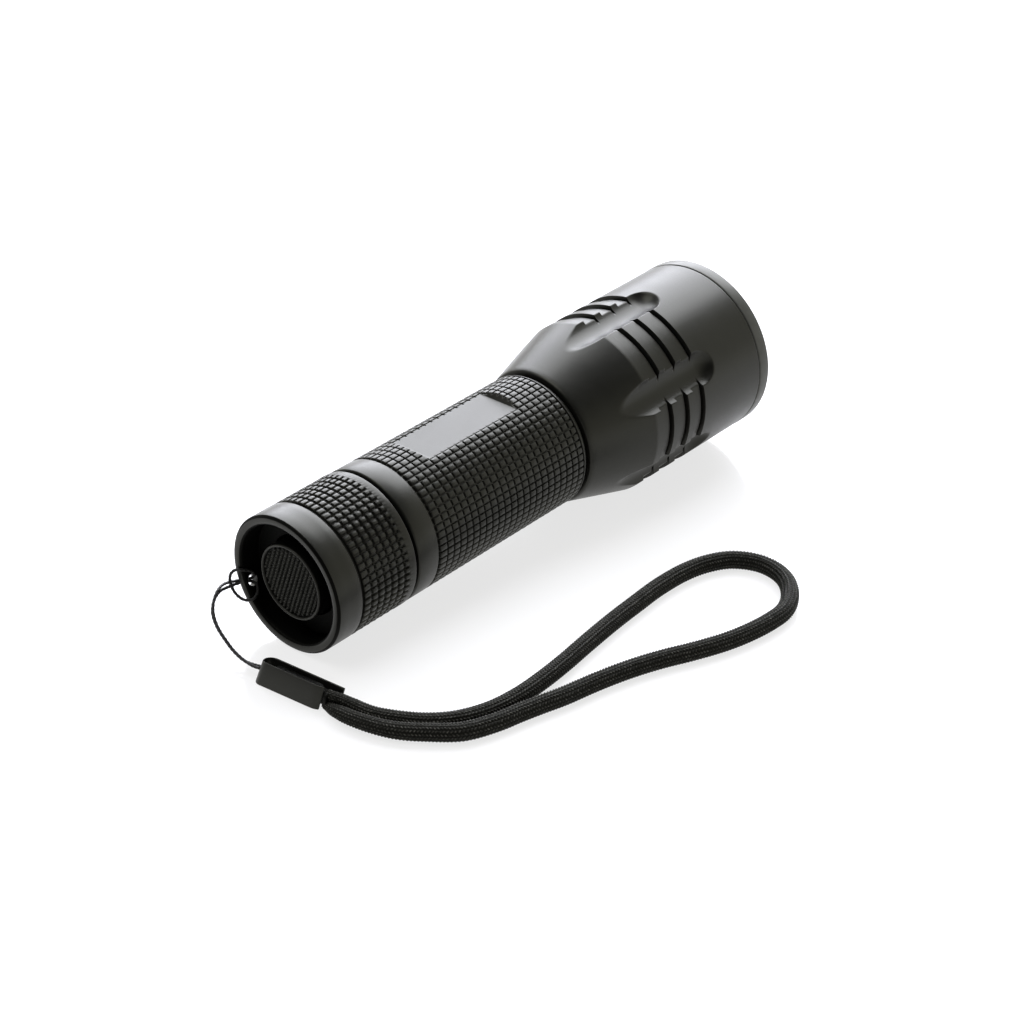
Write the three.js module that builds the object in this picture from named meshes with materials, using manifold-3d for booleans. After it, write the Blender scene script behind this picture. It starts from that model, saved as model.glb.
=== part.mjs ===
// Tactical flashlight with wrist lanyard. Millimetres, +Z up.
// The torch lies on its side on z = 0: it rests on the rim of its tail cap and on the shoulder of its head,
// so its axis climbs from the tail (-X) to the head (+X). The lanyard lies on the same surface.
// Round pieces are drawn as profiles of [s, r]: s runs along the torch's axis from the tail rim, r is the radius.
import * as THREE from 'three';
import { mergeVertices } from 'three/addons/utils/BufferGeometryUtils.js';
import Module from 'manifold-3d';

const wasm = await Module();
wasm.setup();

// ---- driving dimensions -------------------------------------------------------------------------------
const SEG = 48;              // facets round a large turned piece
const R_CAP = 14.1;          // tail cap outside radius
const R_BODY = 14.0;         // body tube outside radius (knurl crests)
const R_HEAD = 18.5;         // head cylinder radius
const L_TOTAL = 121.2;       // tail rim to bezel front
const S_SEAM = 20.4;         // front edge of the tail cap
const S_BODY = 21.15;        // rear edge of the body tube's visible shell
const S_GRIP0 = 26.8;        // grip starts
const S_GRIP1 = 68.2;        // grip ends
const S_HEAD = 69.5;         // rear edge of the head
const S_SHOULDER = 84.8;     // head cone meets the head cylinder
const S_BEZEL = 117.9;       // rear edge of the bezel ring
const FLAT_Z = 12.95;        // height of the milled panel above the axis
const FLAT_S = [33.8, 59.2]; // the milled panel's two ends
const R_CUP = 12.06;         // tail recess radius
const CUP_DEPTH = 4.8;       // tail recess depth
const R_BUTTON = 7.77;       // rubber button radius
const S_BUTTON = 1.15;       // button rim below the tail rim
const HOLE = { s: 1.85, r: 1.15, phi: -111 }; // lanyard hole: station, radius, angle from the top (negative = +Y side)
const BORE = 11.5;           // battery bore radius
const NECK_R = 12.7;         // rear neck outside radius
const THREAD_R = 13.05;      // tail cap thread bore radius
const SCALLOP = { n: 6, phi0: 4, r: 4.9, centre: 21.52, end: 100.6 }; // ball-end cuts round the head
const GROOVES = [[86.7, 90.0], [91.7, 95.0], [96.7, 100.0]];  // the three turned grooves in the head, from and to
const GROOVE_R = 17.85;      // floor of the grooves
const CELL_R = 5.15, CELL_PITCH_R = 6.05, CELL_L = 44.5;
const CORD_D = 3.4;          // braided wrist cord
const STRING_D = 0.6;        // thin hitch string
const TILT = Math.atan((R_HEAD - R_CAP) / 82.8);
const AXIS_Z = R_CAP * Math.cos(TILT) - 0.6 * Math.sin(TILT) + 0.003; // axis height at the tail rim
const X_MID = 60.283;        // world X taken off, so the origin is under the middle of the torch

// ---- materials ----------------------------------------------------------------------------------------
const mat = (color, roughness, metalness, extra = {}) => new THREE.MeshStandardMaterial({ color, roughness, metalness, ...extra });
const M = {
  anodised: mat(0x1b1b1c, 0.42, 0.55),
  rubber: mat(0x0d0d0d, 0.75, 0.0),
  plastic: mat(0x141414, 0.55, 0.0),
  whitePlastic: mat(0xe6e4de, 0.5, 0.0),
  board: mat(0x1d4a2c, 0.5, 0.0),
  brass: mat(0xc9a24a, 0.3, 1.0),
  steel: mat(0xb9bcc0, 0.3, 1.0),
  rawAlu: mat(0xb4b6b9, 0.38, 1.0),
  mirror: mat(0xe8eaec, 0.05, 1.0),
  glass: mat(0xf2f6f8, 0.03, 0.0, { transparent: true, opacity: 0.35 }),
  led: mat(0xe9df6a, 0.25, 0.0),
  cell: mat(0x2f3336, 0.35, 0.6),
  cord: mat(0x111111, 0.85, 0.0),
  clamp: mat(0x2a2a28, 0.45, 0.5),
};

// ---- geometry helpers ---------------------------------------------------------------------------------
function tidy(geometry) {
  let g = geometry.clone();
  for (const name of Object.keys(g.attributes)) if (name !== 'position') g.deleteAttribute(name);
  g = mergeVertices(g, 1e-4);
  const src = g.index.array, keep = [];
  for (let i = 0; i < src.length; i += 3) {
    const [a, b, c] = [src[i], src[i + 1], src[i + 2]];
    if (a !== b && b !== c && a !== c) keep.push(a, b, c);
  }
  const p = g.attributes.position;
  let six = 0;
  const A = new THREE.Vector3(), B = new THREE.Vector3(), C = new THREE.Vector3();
  for (let i = 0; i < keep.length; i += 3) {
    A.fromBufferAttribute(p, keep[i]); B.fromBufferAttribute(p, keep[i + 1]); C.fromBufferAttribute(p, keep[i + 2]);
    six += A.dot(B.cross(C));
  }
  if (six < 0) for (let i = 0; i < keep.length; i += 3) [keep[i + 1], keep[i + 2]] = [keep[i + 2], keep[i + 1]];
  g.setIndex(keep);
  return g;
}
function turned(profile, seg = SEG) {
  const g = new THREE.LatheGeometry(profile.map(([s, r]) => new THREE.Vector2(r, s)), seg);
  g.rotateZ(-Math.PI / 2);
  return tidy(g);
}
const ring = (profile, seg = SEG) => turned([...profile, profile[0]], seg);
function oRing(s, rMid, rWire, seg = SEG, sides = 6) {
  const pts = [];
  for (let i = 0; i < sides; i++) {
    const a = (i / sides) * Math.PI * 2 + Math.PI / sides;
    pts.push([s + rWire * Math.cos(a), rMid + rWire * Math.sin(a)]);
  }
  return ring(pts, seg);
}
function toManifold(g) {
  return new wasm.Manifold(new wasm.Mesh({ numProp: 3, vertProperties: new Float32Array(g.attributes.position.array), triVerts: new Uint32Array(g.index.array) }));
}
function fromManifold(m) {
  const mesh = m.getMesh();
  const g = new THREE.BufferGeometry();
  const n = mesh.vertProperties.length / mesh.numProp, pos = new Float32Array(n * 3);
  for (let i = 0; i < n; i++) for (let k = 0; k < 3; k++) pos[i * 3 + k] = mesh.vertProperties[i * mesh.numProp + k];
  g.setAttribute('position', new THREE.BufferAttribute(pos, 3));
  g.setIndex(Array.from(mesh.triVerts));
  return tidy(g);
}
const cut = (g, ...tools) => fromManifold(tools.reduce((m, t) => m.subtract(toManifold(t)), toManifold(g)));
const join = (g, ...tools) => fromManifold(tools.reduce((m, t) => m.add(toManifold(t)), toManifold(g)));
function block(x0, x1, y0, y1, z0, z1) {
  const g = new THREE.BoxGeometry(x1 - x0, y1 - y0, z1 - z0);
  g.translate((x0 + x1) / 2, (y0 + y1) / 2, (z0 + z1) / 2);
  return tidy(g);
}
// a cylinder of radius r along the torch's axis, centred at radius c and angle phi (degrees from the top)
function rodAt(s0, s1, r, c, phi, seg = 24) {
  const g = turned([[s0, 0], [s0, r], [s1, r], [s1, 0]], seg);
  const a = THREE.MathUtils.degToRad(phi);
  g.translate(0, -c * Math.sin(a), c * Math.cos(a));
  return g;
}
// a point of the torch's own frame: station, radius, angle, and a small tangential offset
function polar(s, r, phi, t = 0) {
  const a = THREE.MathUtils.degToRad(phi);
  return new THREE.Vector3(s, -r * Math.sin(a) + t * Math.cos(a), r * Math.cos(a) + t * Math.sin(a));
}
class Helix extends THREE.Curve {
  constructor(s0, s1, r0, r1, turns, c = 0, phi = 0) { super(); Object.assign(this, { s0, s1, r0, r1, turns, c, phi }); }
  getPoint(t, target = new THREE.Vector3()) {
    const a = t * this.turns * Math.PI * 2, r = this.r0 + (this.r1 - this.r0) * t, o = THREE.MathUtils.degToRad(this.phi);
    return target.set(this.s0 + (this.s1 - this.s0) * t, -this.c * Math.sin(o) + r * Math.cos(a), this.c * Math.cos(o) + r * Math.sin(a));
  }
}
function section(d, sides) {
  const pts = [];
  for (let i = 0; i < sides; i++) pts.push(new THREE.Vector2((d / 2) * Math.cos((i / sides) * 2 * Math.PI), (d / 2) * Math.sin((i / sides) * 2 * Math.PI)));
  return new THREE.Shape(pts);
}
const tube = (curve, d, sides, steps) => tidy(new THREE.ExtrudeGeometry(section(d, sides), { steps, bevelEnabled: false, extrudePath: curve }));
const spring = (s0, s1, r0, r1, turns, wire, c = 0, phi = 0) => tube(new Helix(s0, s1, r0, r1, turns, c, phi), wire, 6, Math.round(turns * 11));

// ---- scene --------------------------------------------------------------------------------------------
const root = new THREE.Group();
const torch = new THREE.Group();
torch.rotation.y = -TILT;
torch.position.set(-X_MID, 0, AXIS_Z);
root.add(torch);
const lanyard = new THREE.Group();
lanyard.position.set(-X_MID, 0, 0);
root.add(lanyard);
function put(group, name, geometry, material) {
  const m = new THREE.Mesh(geometry, material);
  m.name = name;
  group.add(m);
  return m;
}

// ---- tail cap -----------------------------------------------------------------------------------------
const hole = new THREE.CylinderGeometry(HOLE.r, HOLE.r, 6, 20);
hole.translate(0, 13, 0);                       // along +Y
hole.rotateX(THREE.MathUtils.degToRad(HOLE.phi + 90));
hole.translate(HOLE.s, 0, 0);
put(torch, 'tail_cap', cut(ring([
  [0, 12.3], [0, 13.55], [0.55, R_CAP], [S_SEAM - 0.25, R_CAP], [S_SEAM, 13.85], [S_SEAM, THREAD_R],
  [15.3, THREAD_R], [15.3, 11.9], [6.4, 11.9], [6.4, 8.15], [CUP_DEPTH, 8.15], [CUP_DEPTH, R_CUP], [0.25, R_CUP],
]), tidy(hole)), M.anodised);

// rubber button: raised smooth rim round a sunk disc, hollow behind, with a peg on the plunger
put(torch, 'switch_boot', turned([
  [1.55, 0], [1.55, 6.75], [S_BUTTON, 7.05], [S_BUTTON, 7.45], [1.45, R_BUTTON], [6.1, R_BUTTON], [6.1, 6.3],
  [3.1, 6.3], [3.1, 2.2], [4.4, 2.2], [4.4, 0],
], 40), M.rubber);
put(torch, 'boot_washer', ring([[6.75, 8.6], [6.75, 11.6], [7.7, 11.6], [7.7, 8.6]], 40), M.plastic);
put(torch, 'switch_plunger', turned([[4.6, 0], [4.6, 3.4], [5.5, 3.4], [5.5, 2.2], [10.6, 2.2], [10.6, 0]], 24), M.whitePlastic);
put(torch, 'switch_housing', ring([[8.0, 2.7], [8.0, 11.5], [12.6, 11.5], [12.6, 8.5], [9.0, 8.5], [9.0, 2.7]], 40), M.plastic);
put(torch, 'switch_core', cut(block(9.2, 12.5, -4.5, 4.5, -4.5, 4.5), rodAt(9.0, 12.2, 2.7, 0, 0, 24)), M.whitePlastic);
put(torch, 'switch_board', turned([[12.8, 0], [12.8, 11.3], [13.8, 11.3], [13.8, 0]], 40), M.board);
put(torch, 'switch_retainer', cut(ring([[14.0, 8.6], [14.0, 11.7], [15.2, 11.7], [15.2, 8.6]], 40),
  block(14.5, 15.6, -0.9, 0.9, 8.0, 12.2), block(14.5, 15.6, -0.9, 0.9, -12.2, -8.0)), M.rawAlu);
put(torch, 'tail_spring', spring(14.2, 21.5, 4.2, 2.3, 5, 0.7), M.steel);

// ---- body tube ----------------------------------------------------------------------------------------
put(torch, 'body_tube', cut(ring([
  [15.5, BORE], [15.5, 12.4], [15.8, NECK_R], [18.9, NECK_R], [18.9, 12.05], [20.3, 12.05], [20.3, NECK_R], [S_BODY, NECK_R],
  [S_BODY, 13.75], [21.4, R_BODY], [26.3, R_BODY], [26.3, 13.5], [S_GRIP0, 13.5], [S_GRIP0, R_BODY], [67.9, R_BODY],
  [S_GRIP1, 13.7], [S_GRIP1, 12.1], [69.8, 12.1], [69.8, 12.6], [77.5, 12.6], [77.5, BORE],
]), block(FLAT_S[0], FLAT_S[1], -8, 8, FLAT_Z, 16)), M.anodised);
put(torch, 'tail_o_ring', oRing(19.6, 12.46, 0.36), M.rubber);
put(torch, 'neck_o_ring', oRing(68.88, 12.78, 0.52), M.rubber);

// ---- head ---------------------------------------------------------------------------------------------
const capsule = (phi) => {
  const pts = [[62, 0], [62, SCALLOP.r]];
  for (let i = 0; i <= 8; i++) {
    const a = (i / 8) * Math.PI / 2;
    pts.push([SCALLOP.end + SCALLOP.r * Math.sin(a), i === 8 ? 0 : SCALLOP.r * Math.cos(a)]);
  }
  const g = turned(pts, 28);
  const a = THREE.MathUtils.degToRad(phi);
  g.translate(0, -SCALLOP.centre * Math.sin(a), SCALLOP.centre * Math.cos(a));
  return g;
};
const headProfile = [[S_HEAD, 12.85], [S_HEAD, 14.0], [69.7, 14.3], [S_SHOULDER, R_HEAD]];
for (const [a, b] of GROOVES) headProfile.push([a, R_HEAD], [a + 0.15, GROOVE_R], [b - 0.05, GROOVE_R], [b, R_HEAD]);
headProfile.push([117.5, R_HEAD + 0.05], [117.75, 18.35], [117.75, 17.4], [111.6, 17.4], [111.6, 16.2], [106, 16.2], [106, 14.8], [79, 14.8], [79, 12.85]);
put(torch, 'head_shell', cut(ring(headProfile), ...Array.from({ length: SCALLOP.n }, (_, i) => capsule(SCALLOP.phi0 + i * 60))), M.anodised);
put(torch, 'led_pill', ring([[80.6, 11.0], [80.6, 14.6], [95.2, 14.6], [95.2, 3.0], [91.6, 3.0], [91.6, 11.0]]), M.rawAlu);
put(torch, 'driver_board', turned([[81.9, 0], [81.9, 10.8], [83.3, 10.8], [83.3, 0]], 40), M.board);
put(torch, 'driver_coil', rodAt(83.5, 86.6, 2.6, 4.6, 40, 20), M.plastic);
put(torch, 'driver_spring', spring(75.1, 81.45, 2.3, 4.0, 5, 0.7), M.brass);
put(torch, 'led_board', turned([[95.4, 0], [95.4, 9.6], [96.9, 9.6], [96.9, 0]], 12), M.rawAlu);
put(torch, 'led_emitter', turned([[97.05, 0], [97.05, 2.4], [97.9, 2.4], [97.9, 1.6], [98.6, 1.45], [99.2, 0.95], [99.5, 0]], 20), M.led);
put(torch, 'led_gasket', ring([[97.05, 2.8], [97.05, 5.6], [97.75, 5.6], [97.75, 2.8]], 32), M.whitePlastic);
const bowl = [], bowlBack = [];
for (let i = 0; i <= 7; i++) {
  const s = 97.95 + (116.0 - 97.95) * Math.pow(i / 7, 1.3), r = Math.sqrt(12.16 * (s - 96.75));
  bowl.push([s, r]);
  bowlBack.unshift([s, r + 0.75]);
}
bowlBack[0] = [115.2, 15.95];
put(torch, 'reflector', ring([...bowl, [116.45, 15.45], [116.45, 16.35], [115.2, 16.35], ...bowlBack]), M.mirror);
put(torch, 'lens', turned([[116.6, 0], [116.6, 16.35], [118.1, 16.35], [118.1, 0]]), M.glass);
put(torch, 'lens_gasket', ring([[118.16, 15.85], [118.16, 16.45], [118.56, 16.45], [118.56, 15.85]]), M.rubber);
put(torch, 'bezel_ring', ring([
  [S_BEZEL, 17.25], [S_BEZEL, 18.4], [118.1, R_HEAD + 0.05], [120.6, R_HEAD + 0.05], [L_TOTAL, 18.0], [L_TOTAL, 16.3], [120.4, 15.7],
  [118.62, 15.7], [118.62, 16.6], [112.2, 16.6], [112.2, 17.25],
]), M.anodised);

// ---- battery cartridge --------------------------------------------------------------------------------
const CELL_PHI = [60, 180, 300];
put(torch, 'carrier_frame', cut(turned([[22.6, 0], [22.6, 11.15], [73.6, 11.15], [73.6, 0]], 36),
  ...CELL_PHI.map((phi) => rodAt(24.0, 72.2, CELL_R + 0.2, CELL_PITCH_R, phi, 24)),
  ...CELL_PHI.map((phi) => rodAt(24.0, 72.2, 3.6, 10.2, phi, 20))), M.plastic);
CELL_PHI.forEach((phi, i) => {
  const forward = i !== 1, s0 = forward ? 26.8 : 24.95, L = CELL_L;
  const profile = forward
    ? [[s0, 0], [s0, 4.6], [s0 + 0.4, CELL_R], [s0 + L - 1.4, CELL_R], [s0 + L - 1.0, 4.7], [s0 + L - 1.0, 1.9], [s0 + L, 1.9], [s0 + L, 0]]
    : [[s0, 0], [s0, 1.9], [s0 + 1.0, 1.9], [s0 + 1.0, 4.7], [s0 + 1.4, CELL_R], [s0 + L - 0.4, CELL_R], [s0 + L, 4.6], [s0 + L, 0]];
  const a = THREE.MathUtils.degToRad(phi);
  const g = turned(profile, 24);
  g.translate(0, -CELL_PITCH_R * Math.sin(a), CELL_PITCH_R * Math.cos(a));
  put(torch, `battery_cell_${i + 1}`, g, M.cell);
  const [p0, p1] = forward ? [71.45, 72.05] : [24.15, 24.8];
  put(torch, `cell_contact_${i + 1}`, rodAt(p0, p1, 3.4, CELL_PITCH_R, phi, 20), M.steel);
  const [q0, q1] = forward ? [24.4, 26.4] : [71.8, 69.8];
  put(torch, `cell_spring_${i + 1}`, spring(q0, q1, 3.4, 1.8, 2.5, 0.5, CELL_PITCH_R, phi), M.steel);
});
put(torch, 'carrier_rear_contact', turned([[21.95, 0], [21.95, 5.2], [22.5, 5.2], [22.5, 0]], 28), M.brass);
put(torch, 'carrier_front_contact', turned([[73.7, 0], [73.7, 3.6], [74.2, 3.6], [74.2, 2.4], [74.65, 2.2], [74.65, 0]], 28), M.brass);

// ---- lanyard ------------------------------------------------------------------------------------------
// thin string: out of the clamp, up to the rim, a lark's head hitch through the hole and over the rim, and back
const toLanyard = (v) => {               // torch frame -> the lanyard group's frame
  const c = Math.cos(TILT), s = Math.sin(TILT);
  return new THREE.Vector3(v.x * c - v.z * s, v.y, v.x * s + v.z * c + AXIS_Z);
};
const RISE = [                            // the doubled string's middle line, from the clamp to the hitch
  [-9.55, -3.15, 2.1], [-9.6, -1.2, 1.75], [-9.65, 1.6, 1.75], [-9.6, 4.2, 2.5], [-9.35, 7.0, 4.0], [-8.95, 9.4, 5.6],
  [-8.0, 11.4, 7.3], [-6.5, 12.6, 8.7], [-4.6, 13.4, 9.5],
];
const SIDE = 0.37;                        // half the spacing of the two strands
const HITCH = [                           // s, r, tangential offset: one strand, from the rise to the far end of its loop
  [-2.6, 14.95, SIDE], [-0.9, 15.15, SIDE], [0.4, 15.2, SIDE], [1.45, 14.75, SIDE], [1.88, 13.8, SIDE], [1.9, 12.6, SIDE],
  [1.6, 11.5, 0.6], [0.7, 10.95, 1.3], [-0.4, 11.15, 2.1], [-1.15, 12.0, 2.5], [-1.4, 13.2, 2.45], [-1.45, 14.4, 2.1], [-1.45, 15.5, 1.4], [-1.42, 16.1, 0.5],
];
const strand = (sign) => {
  const pts = RISE.map(([x, y, z], i) => {
    const a = RISE[Math.max(0, i - 1)], b = RISE[Math.min(RISE.length - 1, i + 1)];
    const t = new THREE.Vector3(b[0] - a[0], b[1] - a[1], b[2] - a[2]).normalize();
    const side = new THREE.Vector3(1, 0, 0).sub(t.clone().multiplyScalar(t.x)).normalize();
    return new THREE.Vector3(x, y, z).addScaledVector(side, sign * SIDE);
  });
  for (const [s, r, t] of HITCH) pts.push(toLanyard(polar(s, r, HOLE.phi, sign * t)));
  return pts;
};
const stringCurve = new THREE.CatmullRomCurve3([...strand(1), ...strand(-1).reverse()], false, 'centripetal');
put(lanyard, 'lanyard_string', tube(stringCurve, STRING_D, 8, 120), M.cord);

// folded strip clamp: two walls and a round closed end, seen from above a long U, leaning a little
const U = { x: -9.45, y0: -3.6, y1: -20.4, w: 3.4, t: 0.4, h: 4.2, lean: 0.2, yaw: 0.085 };
const uShape = (half, yEnd, yTip) => {
  const s = new THREE.Shape();
  s.moveTo(-half, yEnd);
  s.lineTo(-half, yTip - half);
  for (let i = 1; i < 12; i++) { const a = Math.PI - (i / 12) * Math.PI; s.lineTo(half * Math.cos(a), yTip - half + half * Math.sin(a)); }
  s.lineTo(half, yTip - half);
  s.lineTo(half, yEnd);
  return s;
};
const outer = uShape(U.w / 2, U.y1, U.y0);
const inside = uShape(U.w / 2 - U.t, U.y1 - 2, U.y0 - U.t);
const uSolid = (shape, z0, z1) => { const g = new THREE.ExtrudeGeometry(shape, { depth: z1 - z0, bevelEnabled: false, steps: 1 }); g.translate(0, 0, z0); return tidy(g); };
const pinHole = new THREE.CylinderGeometry(0.8, 0.8, 3, 16);
pinHole.translate(0, U.y0, 0.5 * U.h);
const placeClamp = (g) => {
  g.rotateY(U.lean); g.translate(0, 12, 0); g.rotateZ(U.yaw); g.translate(U.x, -12, 0);
  return g;
};
const LIFT = (U.w / 2) * Math.sin(U.lean);
const clampGeo = placeClamp(cut(uSolid(outer, 0, U.h), uSolid(inside, -1, U.h + 1), tidy(pinHole)));
clampGeo.translate(0, 0, LIFT);
put(lanyard, 'lanyard_clamp', clampGeo, M.clamp);

// the crushed cord ends in their sleeve: narrow inside the clamp, flared outside it
const slab = (w, h, y, zc) => {
  const pts = [];
  for (let i = 0; i < 16; i++) {
    const a = (i / 16) * Math.PI * 2, n = 0.62;
    pts.push(new THREE.Vector3(Math.sign(Math.cos(a)) * Math.pow(Math.abs(Math.cos(a)), n) * w / 2, y, zc + Math.sign(Math.sin(a)) * Math.pow(Math.abs(Math.sin(a)), n) * h / 2));
  }
  return pts;
};
function loft(rings) {
  const n = rings[0].length, pos = [], idx = [];
  for (const r of rings) for (const v of r) pos.push(v.x, v.y, v.z);
  for (let k = 0; k + 1 < rings.length; k++) for (let i = 0; i < n; i++) {
    const a = k * n + i, b = k * n + ((i + 1) % n), c = a + n, d = b + n;
    idx.push(a, c, b, b, c, d);
  }
  for (const [k, flip] of [[0, true], [rings.length - 1, false]]) {
    const mid = rings[k].reduce((s, v) => s.add(v), new THREE.Vector3()).divideScalar(n);
    const m = pos.length / 3; pos.push(mid.x, mid.y, mid.z);
    for (let i = 0; i < n; i++) { const a = k * n + i, b = k * n + ((i + 1) % n); if (flip) idx.push(m, a, b); else idx.push(m, b, a); }
  }
  const g = new THREE.BufferGeometry();
  g.setAttribute('position', new THREE.Float32BufferAttribute(pos, 3));
  g.setIndex(idx);
  return tidy(g);
}
const sleeve = placeClamp(loft([slab(1.9, 3.4, -7, 2.1), slab(1.9, 3.5, -19.6, 2.1), slab(2.2, 3.7, -20.7, 2.1)]));
sleeve.translate(0, 0, LIFT);
const flare = (w, h, y, x, yaw, zc) => slab(w, h, 0, zc).map((v) => new THREE.Vector3(v.x * Math.cos(yaw) + x, v.x * Math.sin(yaw) + y, v.z));
put(lanyard, 'cord_sleeve', join(sleeve, loft([
  flare(2.3, 3.6, -20.6, -8.72, 0.085, 2.4), flare(4.0, 3.6, -21.6, -8.66, 0.085, 2.1), flare(6.4, 3.5, -22.9, -8.55, 0.06, 1.85), flare(6.7, 3.4, -23.6, -8.52, 0.05, 1.8),
])), M.rubber);

// braided wrist cord: one length, both ends in the sleeve, two runs side by side and then the open hand loop
const CZ = CORD_D / 2 + 0.05;
const CORD = [
  [-10.28, -23.95], [-10.25, -26.2], [-9.6, -30.6], [-7.75, -35.3], [-4.3, -40.2], [0.5, -44.2], [6.6, -46.6], [11.6, -47.6], [16.0, -48.6], [21.0, -49.85],
  [28.4, -51.1], [35.5, -52.75], [42.0, -54.9], [48.1, -57.5], [54.7, -59.9], [60.5, -61.2], [66.2, -61.75], [71.2, -61.4], [76.2, -58.9], [79.9, -55.3],
  [81.9, -50.9], [81.9, -46.6], [79.4, -42.2], [75.2, -39.7], [69.8, -38.4], [62.1, -38.2], [54.2, -38.95], [46.0, -39.9], [37.5, -41.2], [29.2, -42.6],
  [22.2, -43.5], [15.5, -43.9], [8.6, -43.3], [2.6, -41.0], [-1.7, -37.5], [-4.75, -33.3], [-6.3, -29.0], [-6.8, -25.9], [-6.78, -23.95],
];
const cordCurve = new THREE.CatmullRomCurve3(CORD.map(([x, y]) => new THREE.Vector3(x, y, CZ)), false, 'centripetal');
put(lanyard, 'wrist_cord', tube(cordCurve, CORD_D, 10, 76), M.cord);

export default root;
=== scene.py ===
import math

import bmesh
import bpy
import numpy as np
from mathutils import Matrix, Vector


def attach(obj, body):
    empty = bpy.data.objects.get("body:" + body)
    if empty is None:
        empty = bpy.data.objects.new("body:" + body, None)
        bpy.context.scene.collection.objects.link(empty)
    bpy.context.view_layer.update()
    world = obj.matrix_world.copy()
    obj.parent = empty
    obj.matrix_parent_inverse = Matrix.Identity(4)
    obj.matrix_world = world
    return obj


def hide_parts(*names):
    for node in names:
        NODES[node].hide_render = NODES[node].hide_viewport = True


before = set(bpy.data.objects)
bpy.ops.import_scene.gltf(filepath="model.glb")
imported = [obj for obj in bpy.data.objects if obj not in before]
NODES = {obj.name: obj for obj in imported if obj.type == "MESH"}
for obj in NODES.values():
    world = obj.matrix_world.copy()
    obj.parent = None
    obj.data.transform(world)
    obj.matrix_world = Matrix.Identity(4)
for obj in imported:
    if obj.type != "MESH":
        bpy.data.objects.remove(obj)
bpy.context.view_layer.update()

MM = 0.001
scene = bpy.context.scene
scene.view_settings.view_transform = "Standard"
scene.view_settings.look = "None"

# ---- the torch's own frame: s along the axis from the tail rim, r the radius, phi from the top towards -Y -----
R_CAP, R_BODY, R_HEAD = 14.1, 14.0, 18.5
TILT = math.atan((R_HEAD - R_CAP) / 82.8)
CT, ST = math.cos(TILT), math.sin(TILT)
AXIS_Z = R_CAP * CT - 0.6 * ST + 0.003
X_MID = 60.283


def to_frame(s, r, phi):
    """Station, radius and angle (mm, radians) to the row frame in metres."""
    s, r, phi = np.broadcast_arrays(np.asarray(s, float), np.asarray(r, float), np.asarray(phi, float))
    w = r * np.cos(phi)
    return np.stack([(s * CT - w * ST - X_MID), -r * np.sin(phi), (s * ST + w * CT + AXIS_Z)], -1) * MM


def local(s, y, w):
    """Axis frame (s, y, w) in mm to the row frame in metres; w is up from the axis."""
    s, y, w = np.broadcast_arrays(np.asarray(s, float), np.asarray(y, float), np.asarray(w, float))
    return np.stack([s * CT - w * ST - X_MID, y, s * ST + w * CT + AXIS_Z], -1) * MM


# ---- camera, first ----------------------------------------------------------------------------------------
cam = bpy.data.objects.new("camera", bpy.data.cameras.new("camera"))
scene.collection.objects.link(cam)
yaw, pitch = math.radians(47.67019), math.radians(-29.44072)
fwd = Vector((math.sin(yaw) * math.cos(pitch), math.cos(yaw) * math.cos(pitch), math.sin(pitch)))
right = Vector((math.cos(yaw), -math.sin(yaw), 0.0))
up = right.cross(fwd)
cam.matrix_world = Matrix((
    (right.x, up.x, -fwd.x, -0.345107),
    (right.y, up.y, -fwd.y, -0.315815),
    (right.z, up.z, -fwd.z, 0.268472),
    (0, 0, 0, 1),
))
cam.data.sensor_width = 36.0
cam.data.lens = 94.4965
cam.data.clip_start, cam.data.clip_end = 0.01, 20
scene.camera = cam


# ---- mesh helpers -----------------------------------------------------------------------------------------
def make(name, verts, faces, material=None, sharp=35, body=None, replaces=(), recalc=True):
    me = bpy.data.meshes.new(name)
    me.from_pydata([], [], [])
    verts = np.asarray(verts, np.float32)
    quads = [f for f in faces if len(f)]
    flat = np.concatenate([np.asarray(f, np.int32).reshape(-1) for f in quads])
    sizes = np.concatenate([np.full(len(f), np.asarray(f).shape[1], np.int32) for f in quads])
    starts = np.concatenate([[0], np.cumsum(sizes)[:-1]]).astype(np.int32)
    me.vertices.add(len(verts))
    me.vertices.foreach_set("co", verts.reshape(-1))
    me.loops.add(len(flat))
    me.loops.foreach_set("vertex_index", flat)
    me.polygons.add(len(sizes))
    me.polygons.foreach_set("loop_start", starts)
    me.update(calc_edges=True)
    me.validate()
    if recalc:
        bm = bmesh.new()
        bm.from_mesh(me)
        bmesh.ops.recalc_face_normals(bm, faces=bm.faces)
        bm.to_mesh(me)
        bm.free()
    me.polygons.foreach_set("use_smooth", np.ones(len(me.polygons), bool))
    if sharp:
        me.set_sharp_from_angle(angle=math.radians(sharp))
    ob = bpy.data.objects.new(name, me)
    scene.collection.objects.link(ob)
    if material is not None:
        me.materials.append(material)
    if body:
        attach(ob, body)
    if replaces:
        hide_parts(*replaces)
    return ob


def grid(P, closed_u, pole0=False, pole1=False):
    """Vertices and faces of a grid P[u, v] closed in v; poles are rows that collapse to one point."""
    nu, nv = P.shape[:2]
    V, row, k = [], [], 0
    for i in range(nu):
        if (i == 0 and pole0) or (i == nu - 1 and pole1):
            V.append(P[i].mean(0)[None])
            row.append(np.full(nv, k))
            k += 1
        else:
            V.append(P[i])
            row.append(k + np.arange(nv))
            k += nv
    V = np.concatenate(V)
    quads, tris = [], []
    for i in range(nu if closed_u else nu - 1):
        a, b = row[i], row[(i + 1) % nu]
        a2, b2 = np.roll(a, -1), np.roll(b, -1)
        if i == 0 and pole0:
            tris.append(np.stack([a, b2, b], 1))
        elif i + 1 == nu - 1 and pole1 and not closed_u:
            tris.append(np.stack([a, a2, b], 1))
        else:
            quads.append(np.stack([a, a2, b2, b], 1))
    return V, [np.concatenate(quads) if quads else np.zeros((0, 4), int), np.concatenate(tris) if tris else np.zeros((0, 3), int)]


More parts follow.
